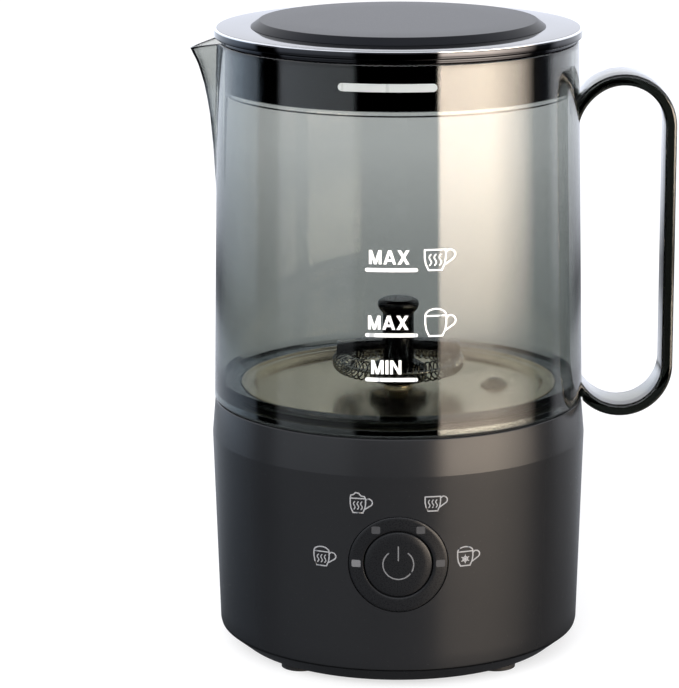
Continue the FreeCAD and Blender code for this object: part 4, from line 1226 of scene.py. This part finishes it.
    def build(self) -> None:
        """Make and dress every piece of the base."""
        dress(self.housing(), MATT_ABS, "base", ["base_housing"])
        self.control_ring()
        self.push_button()
        self.light_windows()
        self.cup_marks()
        for screws, node in ((ScrewSet("cover_screw", 3, 47.0, -90.0, 6.5, 22.0), "cover_screws"),
                             (ScrewSet("bracket_screw", 3, 47.0, 90.0, 62.0, 73.0),
                              "bracket_screws"),
                             (ScrewSet("motor_screw", 2, 10.0, 90.0, 64.0, 60.8), "motor_screws")):
            dress(screws.build(), ZINC_STEEL, "base", [node])


# ---------------------------------------------------------------- the jug
@dataclass
class Jug:
    """Clear tapered jug with its lip, handle, steel dish and level print.

    Attributes:
        low: outer radius and height of the wall's foot.
        top: outer radius and height of the rim.
        inner_low: inner radius and height above the floor's corner.
        inner_top: inner radius and height of the rim.
        beak: the lip's height levels, each with how far its tip stands out and its half width.
        rim_drop: how much lower the rim is at the lip's tip.
        strap_x: distance from the axis to the middle of the handle's bends.
        strap_bends: heights of the middles of the lower and the upper bend.
        strap_radii: inner and outer radius of the bends.
        strap_half: half the strap's width.
        strap_edge: rounding of the strap's edges.
        strap_end: angle in degrees that each bend turns back to, inside the wall.
        levels: each level line's height, its word and where the word starts.
        level_ends: left and right end of a level line.
        level_line: width of a level line.
        word_rise: how far above the middle of its line a word stands.
        letter: height of the words.
        cups: each cup mark with its place.
        cup_scale: size of a cup mark.
        cup_line: line width of a cup mark.
        dish_top: height of the dish's inner face.
        stud_x: distance from the axis to the sensor's stud.
        pin: radius and top of the whisk's pin.
        ring: inner and outer radius of the black ring beneath.
        ring_z: lower and upper face of the ring.
    """

    low: Pair = (57.4, 80.0)
    top: Pair = (55.2, 191.0)
    inner_low: Pair = (55.45, 93.0)
    inner_top: Pair = (53.6, 191.0)
    beak: tuple[Corner, ...] = (
        (143.0, 0.0, 2.0), (150.0, 0.6, 2.8), (158.0, 1.2, 3.6), (163.0, 1.8, 4.4),
        (167.0, 2.2, 5.0), (170.0, 2.7, 5.6), (173.0, 3.3, 6.2), (177.0, 4.2, 7.2),
        (182.0, 5.8, 8.6), (186.0, 7.3, 9.6), (191.0, 9.0, 10.8))
    rim_drop: float = 2.6
    strap_x: float = 68.9
    strap_bends: Pair = (90.3, 165.0)
    strap_radii: Pair = (12.7, 16.2)
    strap_half: float = 8.5
    strap_edge: float = 1.1
    strap_end: int = 178
    levels: tuple[tuple[float, str, float], ...] = (
        (97.8, "MIN", -8.0), (111.2, "MAX", -8.9), (130.7, "MAX", -8.6))
    level_ends: Pair = (-9.2, 5.2)
    level_line: float = 1.15
    word_rise: float = 1.7
    letter: float = 4.2
    cups: tuple[tuple[Drink, float, float], ...] = ((Drink.STEAM, 11.0, 133.9),
                                                    (Drink.FOAM, 11.2, 114.2))
    cup_scale: float = 1.22
    cup_line: float = 0.5
    dish_top: float = 81.6
    stud_x: float = 30.0
    pin: Pair = (2.0, 102.0)
    ring: Pair = (46.7, 55.4)
    ring_z: Pair = (79.6, 82.0)

    def radius(self, height: float) -> float:
        """Outer radius of the wall at a height."""
        share = (height - self.low[1]) / (self.top[1] - self.low[1])
        return self.low[0] + (self.top[0] - self.low[0]) * share

    def beak_at(self, height: float) -> Pair:
        """Find the lip's section at a height.

        Args:
            height: height above the floor.

        Returns:
            How far the tip stands out, and the lip's half width.
        """
        levels = self.beak
        if height <= levels[0][0]:
            return 0.0, 1.0
        for low, high in zip(levels, levels[1:]):
            if height <= high[0]:
                share = (height - low[0]) / (high[0] - low[0])
                return low[1] + (high[1] - low[1]) * share, low[2] + (high[2] - low[2]) * share
        return levels[-1][1], levels[-1][2]

    def lipped(self, angle: float, radius: float, height: float) -> Pair:
        """Push a wall point out to form the pouring lip towards -X.

        Args:
            angle: direction round the axis.
            radius: radius of the plain wall.
            height: height of the point.

        Returns:
            The radius and height with the lip.
        """
        away = abs(math.remainder(angle - math.pi, math.tau))
        out, half = self.beak_at(height)
        # the dish's opening is narrower than any part of the wall
        if out <= 0 or radius < 50:
            return radius, height
        spread = math.asin(min(0.9, half / radius))
        if away >= spread:
            return radius, height
        tip = Vector((radius + out, 0.0))
        root = Vector((radius * math.cos(spread), radius * math.sin(spread)))
        run = root - tip
        # where the ray at this angle meets the flank of the beak
        cross = math.cos(away) * run.y - math.sin(away) * run.x
        flank = (tip.x * run.y - tip.y * run.x) / cross
        reach = max(radius, flank)
        share = (reach - radius) / max(out, 0.01)
        # the very tip is blunted, and near the rim it droops
        soft = 1 - 0.06 * math.exp(-(away / 0.02) ** 2)
        droop_height = 7.0
        near_rim = max(0.0, (height - self.top[1] + droop_height) / droop_height)
        return radius + (reach - radius) * soft, height - self.rim_drop * share * near_rim

    def wall(self) -> bpy.types.Object:
        """Turn the clear body: wall, lip, floor ring and skirt in one solid.

        Returns:
            The clear body.
        """
        lip_levels = list(range(143, 190, 2))
        outer = [(self.radius(z), z) for z in [84, 100, 120, 136] + lip_levels]
        taper = (self.inner_low[0] - self.inner_top[0]) / (self.inner_top[1] - self.inner_low[1])
        inner = [(self.inner_low[0] - (z - self.inner_low[1]) * taper, z)
                 for z in lip_levels[::-1] + [136, 120, 100, self.inner_low[1]]]
        profile = rounded(
            [(*self.low, 0.3)] + outer + [(*self.top, 0.6), (*self.inner_top, 0.6)] + inner
            + [(55.4, 86.6, 0.8), (54.7, 84.7, 0.8), (53.4, 83.9, 0.8), (50.4, 83.75, 0.4),
               (49.6, 83.7, 0.2), (49.6, 82.1), (55.7, 82.1, 0.2), (55.7, self.low[1], 0.3)])
        work = bmesh.new()
        turned(work, profile, 360, shape=self.lipped)
        return to_object("jug_wall", work, 42)

    def strap(self) -> bpy.types.Object:
        """Bend a flat strap into an upright loop and trim it to the wall.

        Returns:
            The handle.
        """
        inner, outer = self.strap_radii
        half, edge, end, step = self.strap_half, self.strap_edge, self.strap_end, 6
        low, high = self.strap_bends
        path = [(high, a) for a in range(end, -1, -step)] + [(high, 0)]
        path += [(low, -a) for _, a in path[::-1]]
        section = rounded([(inner, -half, edge), (outer, -half, edge), (outer, half, edge),
                           (inner, half, edge)])
        work = bmesh.new()
        rings = []
        # near the jug the inner face swings outwards and runs into the wall
        swell_from, swell_most = 120, 1.2
        for middle, angle in path:
            turn = math.radians(angle)
            swell = swell_most * max(0.0, (abs(angle) - swell_from) / (end - swell_from)) ** 2
            reach = [r + swell * (outer - r) / (outer - inner) for r, _ in section]
            rings.append([work.verts.new((self.strap_x + r * math.cos(turn), y,
                                          middle + r * math.sin(turn)))
                          for r, (_, y) in zip(reach, section)])
        for first, second in zip(rings, rings[1:]):
            for k in range(len(section)):
                after = (k + 1) % len(section)
                work.faces.new((first[k], first[after], second[after], second[k]))
        work.faces.new(rings[0])
        work.faces.new(rings[-1][::-1])
        piece = to_object("jug_handle_strap", work, 50)
        # the strap touches the wall, and stays a little clear of the base below it
        base, gap, bite, foot = Base(), 0.6, 0.03, self.low[1] + 0.2
        trim = lathe("strap_cutter", [
            (0.0, 60.0), (base.crease[0] + gap, 60.0), (base.crease[0] + gap, base.crease[1]),
            (base.top[0] + gap, foot), (self.radius(foot) - bite, foot),
            (self.top[0] - bite, self.top[1]), (0.0, self.top[1])], closed=False)
        carve(piece, trim)
        return piece

    def on_wall(self, x: float, z: float, lift: float) -> Vector:
        """A point on the jug's front, x across and z up from the floor."""
        return Vector((x, -math.sqrt((self.radius(z) + lift) ** 2 - x * x), z))

    def level_print(self) -> bpy.types.Object:
        """Print three level lines with their words, and two cup marks.

        Returns:
            The print.
        """
        work = bmesh.new()
        strokes = []
        for drink, x, z in self.cups:
            strokes += shifted(cup_mark(drink, self.cup_line), x, z, self.cup_scale)
        for height, text, start in self.levels:
            strokes.append(Stroke(tuple((x, height) for x in self.level_ends), self.level_line))
            letter_bars(work, text, start, height + self.word_rise, self.letter, self.on_wall)
        return draw("level_print", strokes, self.on_wall, work)

    def dish(self) -> None:
        """Make the spun steel dish, its stud, the whisk pin and the black ring beneath."""
        face, (pin_r, pin_top) = self.dish_top, self.pin
        dish = lathe("heating_dish_spun", [
            (0.0, 80.8), (44.9, 80.8, 0.8), (46.2, 82.8, 0.5), (49.3, 82.8, 0.2),
            (49.4, 84.0, 0.5), (48.3, 84.0, 0.5), (48.0, 83.5, 0.3), (45.5, 83.6, 0.7),
            (44.2, face, 1.2), (20.0, face), (0.0, face)], closed=False)
        dress(dish, DRAWN_STEEL, "jug", ["heating_dish"])
        stud = lathe("sensor_stud_pressed", [
            (0.0, face), (4.3, face, 0.1), (4.1, 82.3, 0.4), (3.3, 82.5, 0.3), (2.9, 83.4, 0.6),
            (1.6, 84.1, 0.5), (0.0, 84.2)], 64, closed=False, at=(self.stud_x, 0.0))
        dress(stud, STUD_STEEL, "jug", ["sensor_stud"])
        pin = lathe("whisk_pin", [
            (0.0, face), (4.5, face), (4.5, 82.5, 0.3), (pin_r, 82.5, 0.4), (pin_r, pin_top, 0.8),
            (0.0, pin_top)], 48, closed=False)
        dress(pin, DRAWN_STEEL, "jug", ["whisk_post"])
        (inner, outer), (low, high) = self.ring, self.ring_z
        ring = lathe("jug_bottom_ring_gloss", [
            (inner, low, 0.2), (outer, low, 0.3), (outer, high, 0.3), (inner, high, 0.2)])
        dress(ring, PIANO_ABS, "jug", ["jug_bottom_ring"])

    def build(self) -> None:
        """Make and dress every piece of the jug."""
        dress(self.wall(), CLEAR_JUG, "jug", ["jug_body"])
        dress(self.strap(), CLEAR_JUG, "jug", ["jug_handle"])
        dress(self.level_print(), WHITE_INK, "jug")
        self.dish()


# ---------------------------------------------------------------- the lid
@dataclass
class Lid:
    """Dark chromed plate and skirt, satin pad, clear seal and the white bar.

    Attributes:
        plate_r: radius of the plate.
        plate_z: lower and upper face of the plate.
        bead: radius and height of the rolled edge's middle, chromed bright as a painted highlight.
        bead_r: radius of the rolled edge's section.
        pad: radius at the pad's foot, and height of its top.
        inner_r: inner radius of the skirt and the seal.
        skirt_r: outer radius of the skirt.
        skirt_z: foot of the skirt, and where it widens to the shoulder.
        shoulder_r: radius of the shoulder under the plate.
        seal_z: lower and upper face of the seal.
        seal_r: outer radius of the seal.
        bar_z: height of the white bar.
        bar_ends: left and right end of the bar.
        bar_line: width of the bar.
    """

    plate_r: float = 56.2
    plate_z: Pair = (192.2, 195.0)
    bead: Pair = (55.72, 194.52)
    bead_r: float = 0.46
    pad: Pair = (45.2, 197.1)
    inner_r: float = 51.7
    skirt_r: float = 53.2
    skirt_z: Pair = (177.0, 191.0)
    shoulder_r: float = 54.6
    seal_z: Pair = (175.2, 176.9)
    seal_r: float = 53.25
    bar_z: float = 183.9
    bar_ends: Pair = (-16.2, 10.0)
    bar_line: float = 2.4

    def on_skirt(self, x: float, z: float, lift: float) -> Vector:
        """A point on the skirt's front."""
        return Vector((x, -math.sqrt((self.skirt_r + lift) ** 2 - x * x), z))

    def plate(self) -> None:
        """Make the plate with its rolled edge, chromed bright as a painted highlight, and the pad
        on it.
        """
        edge, (low, high) = self.plate_r, self.plate_z
        plate = lathe("lid_plate", [
            (0.0, low), (edge, low, 0.5), (edge, high - 0.7, 0.2), (edge - 0.8, high, 0.2),
            (self.pad[0] + 0.2, high, 0.1), (0.0, high)], closed=False)
        dress(plate, DARK_CHROME, "lid", ["lid_flange"])
        # painted highlight: a bright copy of the lid's dark chrome on the edge bead
        bead = lathe("lid_edge_bead", ring_section(*self.bead, self.bead_r, 16))
        dress(bead, HIGHLIGHT_CHROME, "lid")
        foot, top = self.pad
        pad = lathe("lid_pad_satin", [
            (0.0, high), (foot, high, 0.1), (foot - 2.8, top, 0.6), (30.0, top), (0.0, top)],
            closed=False)
        dress(pad, SATIN_LACQUER, "lid", ["lid_pad"])

    def skirt(self) -> None:
        """Make the skirt that stands in the jug, its seal, and the white bar on it."""
        inner, outer, wide = self.inner_r, self.skirt_r, self.shoulder_r
        (foot, shoulder), plate = self.skirt_z, self.plate_z[0]
        skirt = lathe("lid_skirt_chromed", [
            (inner, foot, 0.2), (outer, foot, 0.3), (outer, shoulder, 0.2),
            (wide, shoulder, 0.2), (wide, plate), (inner, plate)])
        dress(skirt, DARK_CHROME, "lid", ["lid_skirt"])
        low, high = self.seal_z
        seal = lathe("lid_seal_ring", [
            (inner, low, 0.2), (self.seal_r - 0.5, low, 0.3), (self.seal_r, low + 0.6, 0.3),
            (self.seal_r, high, 0.1), (inner, high)], 192)
        dress(seal, CLEAR_SILICONE, "lid", ["lid_seal"])
        # the white bar carries a painted glow from its finish
        line = Stroke(tuple((x, self.bar_z) for x in self.bar_ends), self.bar_line)
        dress(draw("lid_bar", [line], self.on_skirt), GLOWING_WHITE_ENAMEL, "lid",
              ["lid_mark_bar"])

    def build(self) -> None:
        """Make and dress every piece of the lid."""
        self.plate()
        self.skirt()


# ---------------------------------------------------------------- the whisk
@dataclass
class Whisk:
    """Black hub with four arms, mushroom knob, core wire and wire coil.

    Attributes:
        bore: radius of the hole for the pin.
        stem: radius of the stem.
        foot: radius of the hub's foot, which holds the magnets.
        foot_z: lower face of the foot, and its upper edge.
        knob_z: lower and upper face of the knob.
        arms: how many arms.
        arm_side: outline of an arm from the side, each point with half the arm's width there.
        arm_edge: bevel along an arm's edges.
        coil: the wire coil, whose ring the core wire shares.
        core_wire: radius of the core wire.
    """

    bore: float = 3.05
    stem: float = 4.85
    foot: float = 9.0
    foot_z: Pair = (84.0, 88.2)
    knob_z: Pair = (105.4, 110.0)
    arms: int = 4
    arm_side: tuple[Corner, ...] = (
        (3.5, 94.4, 2.5), (3.5, 97.1, 2.5), (12.0, 96.7, 2.6), (19.0, 96.0, 3.1),
        (19.2, 95.4, 3.1), (19.2, 91.0, 3.1), (16.0, 91.0, 2.5), (15.9, 93.5, 2.9),
        (12.0, 93.7, 2.6))
    arm_edge: float = 0.35
    coil: CoilRing = CoilRing()
    core_wire: float = 0.6

    def arm(self, turn: float) -> bpy.types.Object:
        """Make one arm with its down-turned end over the coil.

        Args:
            turn: direction of the arm in radians.

        Returns:
            The arm.
        """
        work = bmesh.new()
        near = [work.verts.new((x, -half, z)) for x, z, half in self.arm_side]
        far = [work.verts.new((x, half, z)) for x, z, half in self.arm_side]
        work.faces.new(near)
        work.faces.new(far[::-1])
        for k in range(len(near)):
            after = (k + 1) % len(near)
            work.faces.new((near[k], far[k], far[after], near[after]))
        bmesh.ops.bevel(work, geom=work.edges[:], offset=self.arm_edge, segments=3, profile=0.5,
                        affect="EDGES", clamp_overlap=True)
        bmesh.ops.rotate(work, cent=(0, 0, 0), verts=work.verts[:],
                         matrix=Matrix.Rotation(turn, 3, "Z"))
        return to_object("whisk_arm", work)

    def build(self) -> None:
        """Make and dress every piece of the whisk."""
        (low, edge), (neck, top) = self.foot_z, self.knob_z
        stem = lathe("whisk_stem", [
            (self.bore, low, 0.1), (self.foot, low, 0.4), (self.foot, edge, 0.5),
            (self.stem, edge + 2.5, 0.8), (self.stem, neck), (self.bore, neck)], 96)
        hub = merged("whisk_hub_moulded", [stem] + [
            self.arm(math.tau * k / self.arms) for k in range(self.arms)])
        dress(hub, WHISK_NYLON, "whisk", ["whisk_hub"])
        knob = lathe("whisk_knob_cap", [
            (0.0, neck), (self.stem, neck, 0.3), (5.9, 106.6, 0.8), (6.5, 108.0, 0.9),
            (6.3, 109.2, 0.7), (5.0, 109.9, 0.6), (2.0, top), (0.0, top)], 96, closed=False)
        dress(knob, WHISK_NYLON, "whisk", ["whisk_knob"])
        dress(self.coil.build(), WIRE_STEEL, "whisk", ["whisk_coil"])
        core = lathe("whisk_core_wire", ring_section(self.coil.ring, self.coil.height,
                                                     self.core_wire, 12), 128)
        dress(core, WIRE_STEEL, "whisk", ["whisk_wire_ring"])


# ---------------------------------------------------------------- the studio
@dataclass
class Studio:
    """Pale floor, soft studio surroundings and the camera, in metres.

    Attributes:
        camera_at: where the camera stands.
        pitch: how far it looks down in degrees.
        lens: focal length in millimetres.
        shift_x: sideways shift of the picture.
        key_at: where the soft lamp stands.
        key_aim: height of the point that it faces.
        key_size: its width and height.
        key_power: its power in watts.
        floor_r: radius of the floor in millimetres.
        floor_tone: grey of the floor's paint.
        floor_glow: light that the floor gives off by itself.
        backdrop_painted_shade: share of its light that the floor keeps close behind the object,
            painted shade seen through the clear walls.
        backdrop: distances behind the object where the floor starts and ends brightening.
        bands: light round the horizon, each with its direction, colour and strength.
        sky: colour and strength of the even light above the bands.
        sky_z: sine of the angle where the sky begins and where it is full.
        rise: how strong all the light is at each height.
    """

    camera_at: Corner = (0.0, -0.951, 0.321)
    pitch: float = 13.36
    lens: float = 163.67
    shift_x: float = -0.0855
    key_at: Corner = (-0.35, -1.6, 1.1)
    key_aim: float = 0.1
    key_size: Pair = (1.4, 1.0)
    key_power: float = 30.0
    floor_r: float = 6000.0
    floor_tone: float = 0.42
    floor_glow: float = 0.66
    backdrop_painted_shade: float = 0.72
    backdrop: Pair = (0.55, 0.92)
    # degrees from the front towards the handle's side, sRGB colour, strength
    bands: tuple[tuple[float, str, float], ...] = (
        (-180, "e4e8f4", 1.75), (-150, "dbe4f0", 1.6), (-118, "b4c4d6", 1.9), (-101, "a4b2c2", 1.5),
        (-97, "202226", 0.1), (-82, "202226", 0.1), (-78, "bcc2ca", 1.5), (-29, "b0b5b8", 1.3),
        (-26, "08080a", 0.1), (24, "08080a", 0.1), (27, "ffecd8", 11.0), (59, "ffecd6", 11.8),
        (84, "f3e2d0", 5.0), (95, "504e4c", 0.9), (108, "3a3e46", 1.0), (117, "c4c6cc", 2.2),
        (135, "cdd0d6", 2.1), (180, "e4e8f4", 1.75))
    sky: tuple[str, float] = ("e8eaf0", 1.75)
    sky_z: Pair = (0.1, 0.2)
    # sine of the angle above the horizon, share
    rise: tuple[Pair, ...] = ((-0.45, 0.05), (-0.33, 0.055), (-0.26, 0.5), (-0.222, 0.5),
                              (-0.208, 0.1), (-0.2, 0.19), (-0.188, 0.44), (-0.175, 0.62),
                              (-0.146, 0.9), (-0.12, 1.0), (0.3, 1.0), (0.6, 0.9), (0.8, 0.45),
                              (0.95, 0.2))

    def surroundings(self) -> None:
        """Light the scene from a soft sky and bands of light round the horizon."""
        world = bpy.data.worlds.new("studio")
        bpy.context.scene.world = world
        world.use_nodes = True
        tree = world.node_tree
        tree.nodes.clear()
        way = add_node(tree, "ShaderNodeTexCoord").outputs["Generated"]
        parts = add_node(tree, "ShaderNodeSeparateXYZ", None, {0: way})
        back = add_node(tree, "ShaderNodeMath", {"operation": "MULTIPLY"},
                        {0: parts.outputs["Y"], 1: -1.0})
        turn = add_node(tree, "ShaderNodeMath", {"operation": "ARCTAN2"},
                        {0: parts.outputs["X"], 1: back.outputs[0]})
        share = add_node(tree, "ShaderNodeMath", {"operation": "MULTIPLY_ADD"},
                         {0: turn.outputs[0], 1: 1 / math.tau, 2: 0.5})
        strongest = max(strength for _, _, strength in self.bands)
        horizon = self.ramp(tree, share.outputs[0], [
            (angle / 360 + 0.5, [part * strength / strongest for part in linear(colour)[:3]])
            for angle, colour, strength in self.bands])
        # above the bands the sky is even, so flat tops look alike from every side
        above = add_node(tree, "ShaderNodeMapRange", None,
                         {"Value": parts.outputs["Z"], "From Min": self.sky_z[0],
                          "From Max": self.sky_z[1]})
        sky = [part * self.sky[1] / strongest for part in linear(self.sky[0])[:3]]
        light = add_node(tree, "ShaderNodeMix", {"data_type": "RGBA"},
                         {0: above.outputs[0], 6: horizon, 7: (*sky, 1.0)})
        height = add_node(tree, "ShaderNodeMath", {"operation": "MULTIPLY_ADD"},
                          {0: parts.outputs["Z"], 1: 0.5, 2: 0.5})
        share = self.ramp(tree, height.outputs[0],
                          [(z / 2 + 0.5, [part] * 3) for z, part in self.rise])
        strength = add_node(tree, "ShaderNodeMath", {"operation": "MULTIPLY"},
                            {0: share, 1: strongest})
        studio = add_node(tree, "ShaderNodeBackground", None,
                          {"Color": light.outputs[2], "Strength": strength.outputs[0]})
        path = add_node(tree, "ShaderNodeLightPath")
        white = add_node(tree, "ShaderNodeBackground", None,
                         {"Color": (1.0, 1.0, 1.0, 1.0), "Strength": 1.0})
        shown = add_node(tree, "ShaderNodeMixShader", None,
                         {0: path.outputs["Is Camera Ray"], 1: studio.outputs[0],
                          2: white.outputs[0]})
        add_node(tree, "ShaderNodeOutputWorld", None, {"Surface": shown.outputs[0]})

    @staticmethod
    def ramp(tree: bpy.types.NodeTree, value: bpy.types.NodeSocket,
             stops: Sequence[tuple[float, Sequence[float]]]) -> bpy.types.NodeSocket:
        """Add a colour ramp.

        Args:
            tree: the tree that gets it.
            value: what drives it.
            stops: positions from zero to one with linear colours.

        Returns:
            Its colour socket.
        """
        node = add_node(tree, "ShaderNodeValToRGB", None, {0: value})
        elements = node.color_ramp.elements
        while len(elements) < len(stops):
            elements.new(0.5)
        for element, (position, colour) in zip(elements, stops):
            element.position = position
            element.color = (*colour, 1.0)
        return node.outputs[0]

    def key(self) -> None:
        """A large soft lamp over the camera that lights matt surfaces only."""
        data = bpy.data.lights.new("key_softbox", "AREA")
        data.shape = "RECTANGLE"
        data.size, data.size_y = self.key_size
        data.energy = self.key_power
        lamp = bpy.data.objects.new("key_softbox", data)
        lamp.location = self.key_at
        aim = Vector((0.0, 0.0, self.key_aim)) - Vector(lamp.location)
        lamp.rotation_euler = aim.to_track_quat("-Z", "Y").to_euler()
        lamp.visible_glossy = False
        lamp.visible_transmission = False
        bpy.context.scene.collection.objects.link(lamp)

    def floor(self) -> None:
        """A plain pale floor that mirrors do not see."""
        work = bmesh.new()
        bmesh.ops.create_circle(work, cap_ends=True, segments=96, radius=self.floor_r)
        piece = to_object("studio_floor", work)
        made = bpy.data.materials.new("painted_floor_pale")
        made.use_nodes = True
        tree = made.node_tree
        tree.nodes.clear()
        # painted shade: the floor that shows through the clear walls is a little darker near the
        # object
        path = add_node(tree, "ShaderNodeLightPath")
        where = add_node(tree, "ShaderNodeTexCoord").outputs["Object"]
        depth = add_node(tree, "ShaderNodeSeparateXYZ", None, {0: where}).outputs["Y"]
        dim = add_node(tree, "ShaderNodeMapRange", None,
                       {"Value": depth, "From Min": self.backdrop[0],
                        "From Max": self.backdrop[1], "To Min": self.backdrop_painted_shade})
        full = add_node(tree, "ShaderNodeMath", {"operation": "MAXIMUM"},
                        {0: dim.outputs[0], 1: path.outputs["Is Camera Ray"]})
        tone = add_node(tree, "ShaderNodeMath", {"operation": "MULTIPLY"},
                        {0: full.outputs[0], 1: self.floor_tone})
        glow = add_node(tree, "ShaderNodeMath", {"operation": "MULTIPLY"},
                        {0: full.outputs[0], 1: self.floor_glow})
        paint = add_node(tree, "ShaderNodeBsdfPrincipled", None, {
            "Base Color": tone.outputs[0], "Roughness": 0.9, "Specular IOR Level": 0.0,
            "Emission Color": (1.0, 1.0, 1.0, 1.0), "Emission Strength": glow.outputs[0]})
        # what has been mirrored once looks past the floor into the studio
        mirrored = add_node(tree, "ShaderNodeMath", {"operation": "GREATER_THAN"},
                            {0: path.outputs["Glossy Depth"], 1: 0.5})
        gone = add_node(tree, "ShaderNodeBsdfTransparent")
        shown = add_node(tree, "ShaderNodeMixShader", None,
                         {0: mirrored.outputs[0], 1: paint.outputs[0], 2: gone.outputs[0]})
        add_node(tree, "ShaderNodeOutputMaterial", None, {"Surface": shown.outputs[0]})
        piece.data.materials.append(made)
        piece.visible_glossy = False
        piece.visible_diffuse = False

    def camera(self) -> None:
        """Place the camera in front of the control ring, looking slightly down."""
        data = bpy.data.cameras.new("camera")
        data.sensor_width = 36.0
        data.lens = self.lens
        data.shift_x = self.shift_x
        data.clip_start, data.clip_end = 0.01, 50.0
        camera = bpy.data.objects.new("camera", data)
        camera.location = self.camera_at
        camera.rotation_euler = (math.radians(90.0 - self.pitch), 0.0, 0.0)
        bpy.context.scene.collection.objects.link(camera)
        bpy.context.scene.camera = camera

    def build(self) -> None:
        """Set up the whole studio."""
        self.camera()
        self.floor()
        self.key()
        self.surroundings()
        bpy.context.scene.view_settings.view_transform = "Standard"


def dress_cad_nodes() -> None:
    """Give every CAD node that is still shown the finish of its slot."""
    slots = {row["node"]: row["material_slot"] for row in frame["record"]["subparts"]}
    for name, node in frame["nodes"].items():
        finish = SLOT_FINISH[slots[name]]
        for place in node.material_slots:
            place.material = finish.material()
        if not node.hide_render:
            LOG.info("%s keeps its CAD shape in %s", name, finish.name)


def main() -> None:
    """Build every sub-assembly round the frame."""
    logging.basicConfig(level=logging.INFO, format="%(message)s")
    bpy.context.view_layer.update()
    Studio().build()
    Base().build()
    Jug().build()
    Lid().build()
    Whisk().build()
    dress_cad_nodes()


if __name__ == "__main__":
    main()
